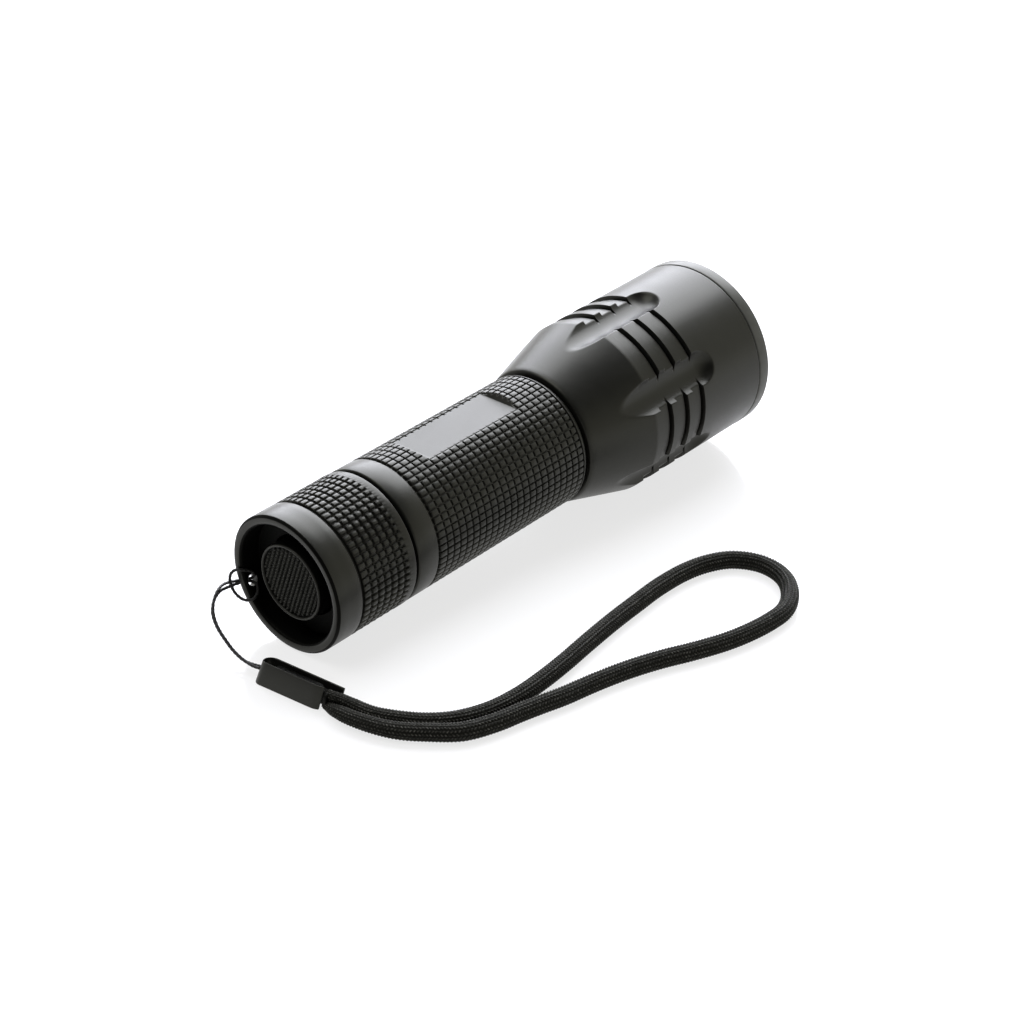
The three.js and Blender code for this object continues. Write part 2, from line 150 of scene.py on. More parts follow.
def rounded(points, radius=0.12, closed=True, steps=3, min_turn=12):
    """Rounds a profile's corners."""
    p = [np.array(q, float) for q in points]
    n, out = len(p), []
    for i in range(n):
        if not closed and i in (0, n - 1):
            out.append(p[i])
            continue
        a, b, c = p[i - 1], p[i], p[(i + 1) % n]
        u, v = a - b, c - b
        lu, lv = np.linalg.norm(u), np.linalg.norm(v)
        turn = 180 - math.degrees(math.acos(max(-1, min(1, float(u @ v) / (lu * lv)))))
        if turn < min_turn:
            out.append(b)
            continue
        d = min(radius, 0.42 * lu, 0.42 * lv)
        q0, q1 = b + u / lu * d, b + v / lv * d
        for t in np.linspace(0, 1, steps):
            out.append((1 - t) ** 2 * q0 + 2 * t * (1 - t) * b + t * t * q1)
    return np.array(out)


def lathe(name, points, material, body, replaces, n=128, bevel=0.1, sharp=35, centre=(0.0, 0.0), full=True):
    """A turned piece: a closed profile, or one that starts and ends on the axis. centre is (radius, phi degrees)."""
    axis = points[0][1] == 0 and points[-1][1] == 0
    prof = rounded(points, bevel, closed=not axis)
    phi = np.linspace(0, 2 * math.pi, n, endpoint=False)
    S, PH = np.meshgrid(prof[:, 0], phi, indexing="ij")
    Rr = np.repeat(prof[:, 1][:, None], n, 1)
    y, w = -Rr * np.sin(PH), Rr * np.cos(PH)
    a = math.radians(centre[1])
    P = local(S, y - centre[0] * math.sin(a), w + centre[0] * math.cos(a))
    V, F = grid(P, closed_u=not axis, pole0=axis, pole1=axis)
    return make(name, V, F, material, sharp, body, replaces)


def catmull(points, per=12):
    """Centripetal Catmull-Rom through the points."""
    p = np.array(points, float)
    p = np.vstack([2 * p[0] - p[1], p, 2 * p[-1] - p[-2]])
    out = []
    for i in range(1, len(p) - 2):
        p0, p1, p2, p3 = p[i - 1], p[i], p[i + 1], p[i + 2]
        t0 = 0.0
        t1 = t0 + np.linalg.norm(p1 - p0) ** 0.5
        t2 = t1 + np.linalg.norm(p2 - p1) ** 0.5
        t3 = t2 + np.linalg.norm(p3 - p2) ** 0.5
        t = np.linspace(t1, t2, per, endpoint=False)[:, None]
        a1 = (t1 - t) / (t1 - t0) * p0 + (t - t0) / (t1 - t0) * p1
        a2 = (t2 - t) / (t2 - t1) * p1 + (t - t1) / (t2 - t1) * p2
        a3 = (t3 - t) / (t3 - t2) * p2 + (t - t2) / (t3 - t2) * p3
        b1 = (t2 - t) / (t2 - t0) * a1 + (t - t0) / (t2 - t0) * a2
        b2 = (t3 - t) / (t3 - t1) * a2 + (t - t1) / (t3 - t1) * a3
        out.append((t2 - t) / (t2 - t1) * b1 + (t - t1) / (t2 - t1) * b2)
    out.append(p[-2][None])
    return np.concatenate(out)


def resample(line, step):
    """The same line with points about step apart, and the distance along it."""
    d = np.concatenate([[0], np.cumsum(np.linalg.norm(np.diff(line, axis=0), axis=1))])
    n = max(2, int(round(d[-1] / step)) + 1)
    u = np.linspace(0, d[-1], n)
    return np.stack([np.interp(u, d, line[:, k]) for k in range(3)], 1), u


def frames(line, hint=(0, 0, 1)):
    """Tangent and two side vectors carried along the line without twist."""
    t = np.gradient(line, axis=0)
    t /= np.linalg.norm(t, axis=1)[:, None]
    n = np.zeros_like(t)
    h = np.array(hint, float)
    n[0] = h - t[0] * (h @ t[0])
    n[0] /= np.linalg.norm(n[0])
    for i in range(1, len(t)):
        v = n[i - 1] - t[i] * (n[i - 1] @ t[i])
        n[i] = v / np.linalg.norm(v)
    return t, n, np.cross(t, n)


def tube(name, line, radius, nseg, material, body=None, replaces=(), relief=None, sharp=0, hint=(0, 0, 1), dome=True, squash=None):
    """A closed mesh tube on a line (metres); relief(u, theta) adds to the radius in metres."""
    t, n, b = frames(line, hint)
    u = np.concatenate([[0], np.cumsum(np.linalg.norm(np.diff(line, axis=0), axis=1))])
    th = np.linspace(0, 2 * math.pi, nseg, endpoint=False)
    R = np.full((len(line), nseg), radius)
    if relief is not None:
        R = R + relief(u[:, None], th[None, :])
    a, c = R * np.cos(th), R * np.sin(th)
    if squash is not None:
        ka, kc = squash(u, u[-1])
        a, c = a * ka[:, None], c * kc[:, None]
    P = line[:, None, :] + n[:, None, :] * a[..., None] + b[:, None, :] * c[..., None]
    k = radius * (0.35 if dome else 0.02)
    first = line[0] - t[0] * k
    last = line[-1] + t[-1] * k
    ring0 = line[0] - t[0] * k * 0.7 + (P[0] - line[0]) * 0.72
    ring1 = line[-1] + t[-1] * k * 0.7 + (P[-1] - line[-1]) * 0.72
    P = np.concatenate([np.repeat(first[None, None], nseg, 1), ring0[None], P, ring1[None], np.repeat(last[None, None], nseg, 1)])
    V, F = grid(P, closed_u=False, pole0=True, pole1=True)
    ob = make(name, V, F, material, sharp, body, replaces)
    # around (turns) and along (metres) for the material
    uu = np.concatenate([[u[0]], np.repeat(u[0], nseg), np.repeat(u, nseg), np.repeat(u[-1], nseg), [u[-1]]])
    tt = np.concatenate([[0.0], th, np.tile(th, len(line)), th, [0.0]])
    if len(uu) == len(ob.data.vertices):
        att = ob.data.attributes.new("lay", "FLOAT_VECTOR", "POINT")
        att.data.foreach_set("vector", np.stack([uu * 1000.0, np.cos(tt), np.sin(tt)], 1).astype(np.float32).reshape(-1))
        if relief is not None:
            hh = np.broadcast_to(relief(u[:, None], th[None, :]), (len(line), nseg))
            lo_, hi_ = hh.min(), hh.max()
            hh = (hh - lo_) / (hi_ - lo_)
            vals = np.concatenate([[0.0], hh[0] * 0.5, hh.reshape(-1), hh[-1] * 0.5, [0.0]])
            k_ = ob.data.attributes.new("height", "FLOAT", "POINT")
            k_.data.foreach_set("value", vals.astype(np.float32))
    return ob


# ---- materials --------------------------------------------------------------------------------------------
class Nodes:
    """A small helper to wire a node tree."""

    def __init__(self, name):
        self.m = bpy.data.materials.new(name)
        self.m.use_nodes = True
        self.t = self.m.node_tree
        self.b = self.t.nodes["Principled BSDF"]
        self.tc = self.add("ShaderNodeTexCoord")
        self.obj = self.tc.outputs["Object"]

    def add(self, kind, **kw):
        n = self.t.nodes.new(kind)
        for k, v in kw.items():
            setattr(n, k, v)
        return n

    def link(self, a, b):
        self.t.links.new(a, b)

    def noise(self, scale, detail=3.0, rough=0.55, vec=None, dist=0.0):
        n = self.add("ShaderNodeTexNoise")
        n.inputs["Scale"].default_value = scale
        n.inputs["Detail"].default_value = detail
        n.inputs["Roughness"].default_value = rough
        n.inputs["Distortion"].default_value = dist
        self.link(vec or self.obj, n.inputs["Vector"])
        return n.outputs["Fac"]

    def voronoi(self, scale, vec=None, feature="F1"):
        n = self.add("ShaderNodeTexVoronoi", feature=feature)
        n.inputs["Scale"].default_value = scale
        self.link(vec or self.obj, n.inputs["Vector"])
        return n.outputs["Distance"]

    def ramp(self, fac, stops):
        n = self.add("ShaderNodeValToRGB")
        while len(n.color_ramp.elements) < len(stops):
            n.color_ramp.elements.new(0.5)
        for e, (p, c) in zip(n.color_ramp.elements, stops):
            e.position = p
            e.color = (*c, 1) if len(c) == 3 else c
        self.link(fac, n.inputs["Fac"])
        return n.outputs["Color"]

    def span(self, fac, lo, hi, a=0.25, b=0.75):
        n = self.add("ShaderNodeMapRange")
        n.inputs["From Min"].default_value = a
        n.inputs["From Max"].default_value = b
        n.inputs["To Min"].default_value = lo
        n.inputs["To Max"].default_value = hi
        self.link(fac, n.inputs["Value"])
        return n.outputs["Result"]

    def math(self, op, a, b=None, c=None):
        n = self.add("ShaderNodeMath", operation=op)
        for i, v in enumerate((a, b, c)):
            if v is None:
                continue
            if isinstance(v, (int, float)):
                n.inputs[i].default_value = v
            else:
                self.link(v, n.inputs[i])
        return n.outputs[0]

    def mix(self, fac, a, b, blend="MIX"):
        n = self.add("ShaderNodeMix", data_type="RGBA", blend_type=blend)
        for sock, v in ((n.inputs[0], fac), (n.inputs[6], a), (n.inputs[7], b)):
            if isinstance(v, (int, float)):
                sock.default_value = v
            elif isinstance(v, tuple):
                sock.default_value = (*v, 1)
            else:
                self.link(v, sock)
        return n.outputs[2]

    def bump(self, height, strength=0.3, distance=0.0001, normal=None):
        n = self.add("ShaderNodeBump")
        n.inputs["Strength"].default_value = strength
        n.inputs["Distance"].default_value = distance
        self.link(height, n.inputs["Height"])
        if normal is not None:
            self.link(normal, n.inputs["Normal"])
        return n.outputs["Normal"]

    def axis_coords(self):
        """Object coordinates turned so that x runs along the torch's axis."""
        n = self.add("ShaderNodeMapping", vector_type="POINT")
        n.inputs["Rotation"].default_value = (0, TILT, 0)
        self.link(self.obj, n.inputs["Vector"])
        return n.outputs["Vector"]

    def stretched(self, vec, scale):
        n = self.add("ShaderNodeMapping", vector_type="POINT")
        n.inputs["Scale"].default_value = scale
        self.link(vec, n.inputs["Vector"])
        return n.outputs["Vector"]

    def base(self, v):
        if isinstance(v, tuple):
            self.b.inputs["Base Color"].default_value = (*v, 1)
        else:
            self.link(v, self.b.inputs["Base Color"])

    def set(self, **kw):
        for k, v in kw.items():
            self.b.inputs[k.replace("_", " ")].default_value = v


def worn_edges(n, lo=0.502, hi=0.56):
    g = n.add("ShaderNodeNewGeometry")
    return n.span(g.outputs["Pointiness"], 0.0, 1.0, lo, hi)


def anodised(name, rough=0.36, base=0.005, turned=1.0, spec_ior=1.36, tint=(1.0, 0.985, 0.87)):
    """Satin black anodising: a fine blasted grain, faint turning lines round the axis, slightly lighter edges."""
    n = Nodes(name)
    ax = n.axis_coords()
    grain = n.noise(5600, 2.5, 0.65)
    cloud = n.noise(160, 4.0, 0.6)
    lines = n.noise(1.0, 3.0, 0.7, n.stretched(ax, (5200, 25, 25)))
    lo = tuple(base * 0.8 * c for c in tint)
    hi = tuple(base * 1.25 * c for c in tint)
    colour = n.ramp(cloud, [(0.3, lo), (0.7, hi)])
    wear = worn_edges(n, 0.53, 0.62)
    wear = n.math("MULTIPLY", wear, n.span(n.noise(700, 3.0), 0.0, 0.5, 0.4, 0.7))
    n.base(n.mix(wear, colour, tuple(base * 4.0 for _ in range(3))))
    r = n.span(grain, rough - 0.05, rough + 0.05)
    r = n.math("ADD", r, n.span(cloud, -0.025, 0.03))
    n.link(r, n.b.inputs["Roughness"])
    n1 = n.bump(grain, 0.22, 0.00004)
    n.link(n.bump(lines, 0.10 * turned, 0.00004, n1) if turned else n1, n.b.inputs["Normal"])
    n.set(Metallic=0.0, IOR=spec_ior, Specular_Tint=(1.0, 1.0, 0.86, 1.0))
    return n.m


def rubber(name, base=0.014, rough=0.5, ior=1.5, grid_painted_highlight=False):
    n = Nodes(name)
    fine = n.noise(6500, 3.0, 0.6)
    blot = n.noise(260, 4.0, 0.6)
    colour = n.ramp(blot, [(0.3, (base * 0.75,) * 3), (0.72, (base * 1.3, base * 1.28, base * 1.24))])
    if grid_painted_highlight:
        # painted highlight: the raised tops of the button's grid are made lighter than the near-black pits between them
        ht = n.add("ShaderNodeAttribute", attribute_name="height").outputs["Fac"]
        painted_highlight_tops = n.span(ht, 0.0, 1.0, 0.45, 0.85)
        colour = n.mix(painted_highlight_tops, colour, (0.024, 0.0237, 0.021))
    n.base(colour)
    n.link(n.math("ADD", n.span(fine, rough - 0.07, rough + 0.07), n.span(blot, -0.04, 0.04)), n.b.inputs["Roughness"])
    n.link(n.bump(fine, 0.22, 0.00004), n.b.inputs["Normal"])
    n.set(IOR=ior, Specular_Tint=(1.0, 1.0, 0.88, 1.0))
    return n.m


def plastic(name, colour, rough=0.4, ior=1.5, grain=0.12):
    n = Nodes(name)
    fine = n.noise(3800, 3.0, 0.6)
    blot = n.noise(190, 3.0, 0.5)
    n.base(n.ramp(blot, [(0.28, tuple(c * 0.88 for c in colour)), (0.75, tuple(min(1, c * 1.08) for c in colour))]))
    n.link(n.math("ADD", n.span(fine, rough - 0.06, rough + 0.06), n.span(blot, -0.03, 0.03)), n.b.inputs["Roughness"])
    n.link(n.bump(fine, grain, 0.00004), n.b.inputs["Normal"])
    n.set(IOR=ior)
    return n.m


def metal(name, colour, rough=0.28, turned=True, dirt=0.25):
    n = Nodes(name)
    ax = n.axis_coords()
    lines = n.noise(1.0, 3.0, 0.7, n.stretched(ax, (4200, 30, 30))) if turned else n.noise(2600, 3.0, 0.6)
    blot = n.noise(230, 4.0, 0.6)
    n.base(n.ramp(blot, [(0.25, tuple(c * (1 - dirt) for c in colour)), (0.7, colour)]))
    n.link(n.math("ADD", n.span(lines, rough - 0.07, rough + 0.07), n.span(blot, 0.05, -0.04)), n.b.inputs["Roughness"])
    n.link(n.bump(lines, 0.16, 0.00003), n.b.inputs["Normal"])
    n.set(Metallic=1.0)
    return n.m


def board(name):
    n = Nodes(name)
    weave = n.noise(1500, 2.0, 0.5)
    cells = n.voronoi(420)
    green = n.ramp(weave, [(0.3, (0.006, 0.045, 0.018)), (0.7, (0.012, 0.075, 0.03))])
    copper = n.ramp(cells, [(0.0, (0.10, 0.16, 0.05)), (0.12, (0.02, 0.09, 0.035)), (0.16, (0.01, 0.06, 0.024))])
    n.base(n.mix(n.span(n.voronoi(230), 1.0, 0.0, 0.10, 0.16), green, copper))
    n.link(n.span(weave, 0.25, 0.4), n.b.inputs["Roughness"])
    n.link(n.bump(weave, 0.15, 0.00005), n.b.inputs["Normal"])
    n.set(IOR=1.55)
    return n.m


def cell_jacket(name):
    n = Nodes(name)
    ax = n.axis_coords()
    sep = n.add("ShaderNodeSeparateXYZ")
    n.link(ax, sep.inputs[0])
    band = n.ramp(n.span(sep.outputs[0], 0.0, 1.0, -0.037, 0.013), [(0.0, (0.32, 0.16, 0.035)), (0.27, (0.32, 0.16, 0.035)), (0.275, (0.022, 0.024, 0.028)), (1.0, (0.022, 0.024, 0.028))])
    blot = n.noise(300, 3.0)
    n.base(n.mix(n.span(blot, 0.0, 0.25), band, (0.05, 0.05, 0.055)))
    n.link(n.span(n.noise(1200, 3.0), 0.22, 0.34), n.b.inputs["Roughness"])
    n.link(n.bump(n.noise(900, 2.0), 0.06, 0.00005), n.b.inputs["Normal"])
    n.set(Metallic=0.35)
    return n.m


def led_material(name):
    n = Nodes(name)
    sep = n.add("ShaderNodeSeparateXYZ")
    n.link(n.axis_coords(), sep.inputs[0])
    speck = n.noise(4200, 3.0)
    n.base(n.ramp(speck, [(0.3, (0.66, 0.50, 0.07)), (0.7, (0.86, 0.72, 0.16))]))
    n.link(n.span(speck, 0.12, 0.22), n.b.inputs["Roughness"])
    n.link(n.bump(speck, 0.05, 0.00003), n.b.inputs["Normal"])
    n.set(IOR=1.5, Coat_Weight=0.6)
    n.b.inputs["Coat Roughness"].default_value = 0.05
    return n.m


def mirror(name):
    """Vacuum-metallised bowl with a light orange-peel texture."""
    n = Nodes(name)
    peel = n.voronoi(900, feature="SMOOTH_F1")
    fine = n.noise(2500, 2.0)
    n.base(n.ramp(fine, [(0.3, (0.82, 0.82, 0.83)), (0.7, (0.92, 0.92, 0.92))]))
    n.link(n.span(fine, 0.05, 0.11), n.b.inputs["Roughness"])
    n.link(n.bump(peel, 0.18, 0.00012), n.b.inputs["Normal"])
    n.set(Metallic=1.0)
    return n.m


def glass(name):
    n = Nodes(name)
    fine = n.noise(900, 2.0)
    n.base(n.ramp(fine, [(0.3, (0.94, 0.97, 0.98)), (0.7, (0.99, 1.0, 1.0))]))
    n.link(n.span(fine, 0.0, 0.03), n.b.inputs["Roughness"])
    n.link(n.bump(fine, 0.01, 0.00002), n.b.inputs["Normal"])
    n.set(IOR=1.5)
    n.b.inputs["Transmission Weight"].default_value = 1.0
    n.b.inputs["Coat Weight"].default_value = 0.5
    n.b.inputs["Coat Roughness"].default_value = 0.02
    return n.m


def braid(name):
    """Black braided cord: the strokes are in the mesh; fibres, painted highlights as grey flecks on the raised strokes
    and painted shade in the hollows are here.
    """
    n = Nodes(name)
    at = n.add("ShaderNodeAttribute", attribute_name="lay")
    v = at.outputs["Vector"]
    fibre = n.noise(1.0, 3.0, 0.7, n.stretched(v, (9.0, 14.0, 14.0)))
    fleck = n.noise(1.0, 2.0, 0.6, n.stretched(v, (1.6, 4.0, 4.0)))
    fine = n.noise(7000, 2.0, 0.7)
    ht = n.add("ShaderNodeAttribute", attribute_name="height").outputs["Fac"]
    dark = n.ramp(fibre, [(0.3, (0.001, 0.001, 0.0009)), (0.72, (0.005, 0.0049, 0.0042))])
    # painted highlight: grey flecks on the highest parts of the strokes; painted shade: the hollows between strokes go
    # near black
    painted_highlight_tips = n.math("MULTIPLY", n.span(ht, 0.0, 1.0, 0.6, 0.95), n.span(fleck, 0.06, 1.0, 0.45, 0.66))
    painted_shade_pits = n.span(ht, 1.0, 0.0, 0.25, 0.6)
    lit = n.mix(n.math("MULTIPLY", painted_highlight_tips, 0.85), dark, (0.105, 0.103, 0.09))
    n.base(n.mix(painted_shade_pits, lit, (0.0016, 0.0016, 0.0016)))
    n.link(n.span(fine, 0.5, 0.68), n.b.inputs["Roughness"])
    n.link(n.bump(fine, 0.35, 0.00005, n.bump(fibre, 0.6, 0.00007)), n.b.inputs["Normal"])
    n.set(IOR=1.27, Specular_Tint=(1.0, 1.0, 0.84, 1.0))
    return n.m


def string_material(name):
    n = Nodes(name)
    at = n.add("ShaderNodeAttribute", attribute_name="lay")
    twist = n.noise(1.0, 2.0, 0.6, n.stretched(at.outputs["Vector"], (5.0, 3.0, 3.0)))
    fine = n.noise(9000, 2.0, 0.7)
    n.base(n.ramp(twist, [(0.3, (0.004, 0.0038, 0.0036)), (0.72, (0.018, 0.017, 0.016))]))
    n.link(n.span(fine, 0.4, 0.6), n.b.inputs["Roughness"])
    n.link(n.bump(fine, 0.3, 0.00004), n.b.inputs["Normal"])
    n.set(IOR=1.38)
    return n.m


M_ANO = anodised("anodised_black")
M_ANO_HEAD = anodised("anodised_black_head", turned=1.4)
M_BEZEL = anodised("anodised_black_bezel", base=0.05, tint=(1.0, 1.0, 0.93))
# near-black, low-sheen copy of the anodising: painted shade for the tail cup's recess and a painted dark line on the
# rim chamfer
M_CUP_PAINTED_SHADE = anodised("anodised_black_cup_painted_shade", rough=0.55, base=0.0006, turned=1.0, spec_ior=1.15)
M_BOOT = rubber("boot_rubber", 0.0016, 0.42, 1.3, grid_painted_highlight=True)
M_RING = rubber("ring_rubber", 0.004, 0.42)
M_SLEEVE = rubber("sleeve_rubber", 0.0015, 0.5, 1.2)
M_PLASTIC = plastic("black_plastic", (0.014, 0.014, 0.015), 0.42)
M_WHITE = plastic("white_plastic", (0.78, 0.77, 0.73), 0.42)
M_BOARD = board("circuit_board")
M_ALU = metal("bare_aluminium", (0.62, 0.63, 0.65), 0.3)
M_STEEL = metal("spring_steel", (0.6, 0.61, 0.63), 0.24, turned=False)
M_BRASS = metal("contact_brass", (0.78, 0.58, 0.25), 0.24)
M_CELL = cell_jacket("cell_jacket")
M_LED = led_material("led_phosphor")
M_MIRROR = mirror("reflector_coating")
M_GLASS = glass("clear_glass")
M_STRING = string_material("string")
M_BRAID = braid("braided_cord")
M_CLAMP = anodised("clamp_metal", rough=0.40, base=0.004, turned=0.0, spec_ior=1.39, tint=(1.0, 0.98, 0.92))

# ---- cords ------------------------------------------------------------------------------------------------
CORD_D, STRING_D = 3.4, 0.58
CZ = CORD_D / 2 + 0.05
CORD = [
    [-8.95, -19.4, 1.1], [-9.3, -20.6, 1.2], [-9.75, -22.3, 1.45], [-9.85, -24.2, 1.66], [-9.7, -27.0, 1.77], [-8.88, -30.95, 1.78], [-7.15, -35.3], [-3.85, -39.8], [0.5, -44.2], [6.6, -46.6], [11.6, -47.6], [16.0, -48.6], [21.0, -49.85],
    [28.4, -51.1], [35.5, -52.75], [42.0, -54.9], [48.1, -57.5], [54.7, -59.9], [60.5, -61.2], [66.2, -61.75], [71.2, -61.4], [76.2, -58.9], [79.9, -55.3],
    [81.9, -50.9], [81.9, -46.6], [79.4, -42.2], [75.2, -39.7], [69.8, -38.4], [62.1, -38.2], [54.2, -38.95], [46.0, -39.9], [37.5, -41.2], [29.2, -42.6],
    [22.2, -43.5], [15.5, -43.9], [8.6, -43.3], [2.6, -41.0], [-1.6, -37.4], [-4.4, -33.1], [-6.26, -28.9, 1.76], [-6.82, -26.0, 1.85], [-7.18, -23.9, 2.12], [-7.55, -22.1, 2.45], [-8.2, -20.6, 2.85], [-8.5, -19.4, 2.95],
]
cord_line = catmull([[q[0] - X_MID, q[1], q[2] if len(q) > 2 else CZ] for q in CORD], 24) * MM
cord_line, cord_u = resample(cord_line, 0.00013)


def braid_relief(u, th):
    """Sixteen columns of slanted strokes, leaning alternately, as a tight braid shows."""
    col = th / (2 * math.pi) * 16
    k = np.floor(col)
    f = col - k - 0.5
    lean = np.where(k % 2 == 0, 1.0, -1.0)
    pitch = 0.00064
    ph = u / pitch + lean * f * 0.8 + 0.5 * (k % 2)
    stroke = np.abs(np.cos(math.pi * ph)) ** 0.7
    ridge = np.clip(1 - (f / 0.53) ** 2, 0, 1) ** 0.6
    return (0.00038 * stroke * ridge) - 0.00025


def end_squash(u, total):
    d = np.minimum(u, total - u)
    k = 0.56 + 0.24 * np.clip((d - 0.0010) / 0.0046, 0, 1) + 0.14 * np.clip((d - 0.0046) / 0.014, 0, 1) + 0.06 * np.clip((d - 0.0186) / 0.01, 0, 1)
    return k, k


wrist = tube("wrist_cord_braid", cord_line, CORD_D / 2 * MM, 64, M_BRAID, "tail_cap", ["wrist_cord"], relief=braid_relief, squash=end_squash)

RISE = [[-9.55, -3.15, 2.1], [-9.6, -1.2, 1.75], [-9.65, 1.6, 1.75], [-9.6, 4.2, 2.5], [-9.35, 7.0, 4.0], [-8.95, 9.4, 5.6], [-8.0, 11.4, 7.3], [-6.5, 12.6, 8.7], [-4.6, 13.4, 9.5]]
SIDE = 0.36
OUT_A = [[-2.84, 14.9, 1.17], [-1.3, 15.4, 0.86], [0.19, 15.3, 0.45], [0.81, 14.95, 0.34], [1.5, 14.55, 0.28], [1.88, 13.8, 0.3], [1.95, 12.6, 0.3]]
OUT_B = [[-2.4, 15.0, 0.25], [-0.94, 15.4, -0.03], [-0.03, 15.3, -0.1], [0.63, 14.95, -0.16], [1.4, 14.55, -0.24], [1.85, 13.8, -0.28], [1.9, 12.6, -0.3]]
BIGHT = [[2.3, 11.7, 0.75], [1.95, 11.5, 1.7], [0.8, 11.6, 2.5], [-0.1, 11.8, 3.0], [-0.5, 12.4, 3.2], [-0.85, 13.1, 3.08], [-1.1, 13.9, 2.55], [-1.2, 14.45, 1.8], [-1.25, 14.68, 1.15], [-1.3, 14.72, 0.5], [-1.3, 14.68, -0.2], [-1.3, 14.4, -1.15], [-1.15, 13.75, -2.15], [-0.85, 12.95, -2.85], [-0.4, 12.25, -3.15], [0.3, 11.75, -3.2], [1.23, 11.6, -2.8], [1.8, 11.5, -2.0], [2.1, 11.65, -1.0]]
HOLE_PHI = math.radians(-111)


def rim_point(q):
    sa_, r, tt = q
    y = -r * math.sin(HOLE_PHI) - tt * math.cos(HOLE_PHI)
    w = r * math.cos(HOLE_PHI) - tt * math.sin(HOLE_PHI)
    return list(local(sa_, y, w) / MM)


def strand(sign, out):
    """One of the two strands, from the clamp up to the hole; the pair turns from side by side to one above the other."""
    pts, away, upw = [], np.array([-0.42, -0.80, 0.43]), np.array([0.0, 0.0, 1.0])
    for i, p in enumerate(RISE):
        a, b = np.array(RISE[max(0, i - 1)]), np.array(RISE[min(len(RISE) - 1, i + 1)])
        t = (b - a) / np.linalg.norm(b - a)
        f0, f1 = min(1.0, i / 2.0), max(0.0, (i - 6) / 2.0)
        lean = (1 - f0) * np.array([-1.0, 0, 0]) + f0 * ((1 - f1) * away + f1 * upw)
        side = lean - t * (lean @ t)
        side /= np.linalg.norm(side)
        q = np.array(p) + side * sign * SIDE
        pts.append([q[0] - X_MID, q[1], q[2]])
    return pts + [rim_point(q) for q in out]


string_points = strand(1, OUT_A) + [rim_point(q) for q in BIGHT] + strand(-1, OUT_B)[::-1]
string_line, string_u = resample(catmull(string_points, 16) * MM, 0.00014)
ply = lambda u, th: 0.00003 * np.cos(2 * th - u / 0.0009 * 2 * math.pi)
string = tube("lanyard_string_twine", string_line, STRING_D / 2 * MM, 12, M_STRING, "tail_cap", ["lanyard_string"], relief=ply)

# ---- strip clamp and sleeve ---------------------------------------------------------------------------------
U = dict(x=-9.45, y0=-3.6, y1=-20.4, w=3.4, t=0.4, h=4.2, lean=0.2, yaw=0.085)
LIFT = (U["w"] / 2) * math.sin(U["lean"])


def place_clamp(p):
    """The clamp's own drawing frame (mm) to the row frame in metres: leant over, turned a little, set down."""
    p = np.asarray(p, float)
    cl, sl = math.cos(U["lean"]), math.sin(U["lean"])
    x, y, z = p[..., 0] * cl + p[..., 2] * sl, p[..., 1] + 12, -p[..., 0] * sl + p[..., 2] * cl
    cy, sy = math.cos(U["yaw"]), math.sin(U["yaw"])
    return np.stack([x * cy - y * sy + U["x"] - X_MID, x * sy + y * cy - 12, z + LIFT], -1) * MM


half = U["w"] / 2 - U["t"] / 2
near_end, far_end = U["y1"] + 1.6, U["y1"] - 0.95
path = [[-half + 0.42, near_end, 0], [-half + 0.24, near_end + 0.4, 0], [-half + 0.08, near_end + 0.95, 0], [-half + 0.01, near_end + 1.6, 0]]
path += [[-half, y, 0] for y in np.linspace(near_end + 2.2, U["y0"] - half - 0.6, 12)]
path += [[half * math.cos(a), U["y0"] - half + half * math.sin(a), 0] for a in np.linspace(math.pi, 0, 17)]
path += [[half, y, 0] for y in np.linspace(U["y0"] - half - 0.6, far_end, 13)]
path = np.array(path, float)
tan = np.gradient(path, axis=0)
tan /= np.linalg.norm(tan, axis=1)[:, None]
nrm = np.stack([-tan[:, 1], tan[:, 0], np.zeros(len(tan))], 1)
sec = []
ht, hh, rad = U["t"] / 2, U["h"], 0.13
for cx, cz, a0 in ((ht - rad, hh - rad, 0), (-ht + rad, hh - rad, 90), (-ht + rad, rad, 180), (ht - rad, rad, 270)):
    for a in np.linspace(0, 90, 4):
        sec.append([cx + rad * math.cos(math.radians(a0 + a)), cz + rad * math.sin(math.radians(a0 + a))])
sec = np.array(sec)
P = path[:, None, :] + nrm[:, None, :] * sec[None, :, 0, None] + np.array([0, 0, 1.0]) * sec[None, :, 1, None]
cap_a, cap_b = P[0].mean(0), P[-1].mean(0)
shr = lambda ring, c, k, e: c + (ring - c) * np.array([k, k, 1 - (1 - k) * 0.15]) + e
e0, e1 = -tan[0] * 0.08, tan[-1] * 0.08
P = np.concatenate([np.repeat((cap_a + e0)[None, None], len(sec), 1), shr(P[0], cap_a, 0.7, e0)[None], P, shr(P[-1], cap_b, 0.7, e1)[None], np.repeat((cap_b + e1)[None, None], len(sec), 1)])
along = np.clip((P[..., 1:2] - U["y1"]) / (U["y0"] - U["y1"]), 0, 1)
side_w = np.clip(0.5 - P[..., 0:1] / 3.0, 0, 1)
P = P + np.array([0, 1.0, 0]) * (-(0.2 + 0.1 * along) * (P[..., 2:3] - 2.1)) - np.array([0, 0, 1.0]) * (0.58 + 0.04 * along) * side_w * (1 - P[..., 2:3] / U["h"])
V, F = grid(place_clamp(P), closed_u=False, pole0=True, pole1=True)
clamp = make("lanyard_clamp_strip", V, F, M_CLAMP, 40, "tail_cap", ["lanyard_clamp"])


def slab(w, h, n=40, power=0.62):
    a = np.linspace(0, 2 * math.pi, n, endpoint=False)
    return np.stack([np.sign(np.cos(a)) * np.abs(np.cos(a)) ** power * w / 2, np.sign(np.sin(a)) * np.abs(np.sin(a)) ** power * h / 2], 1)


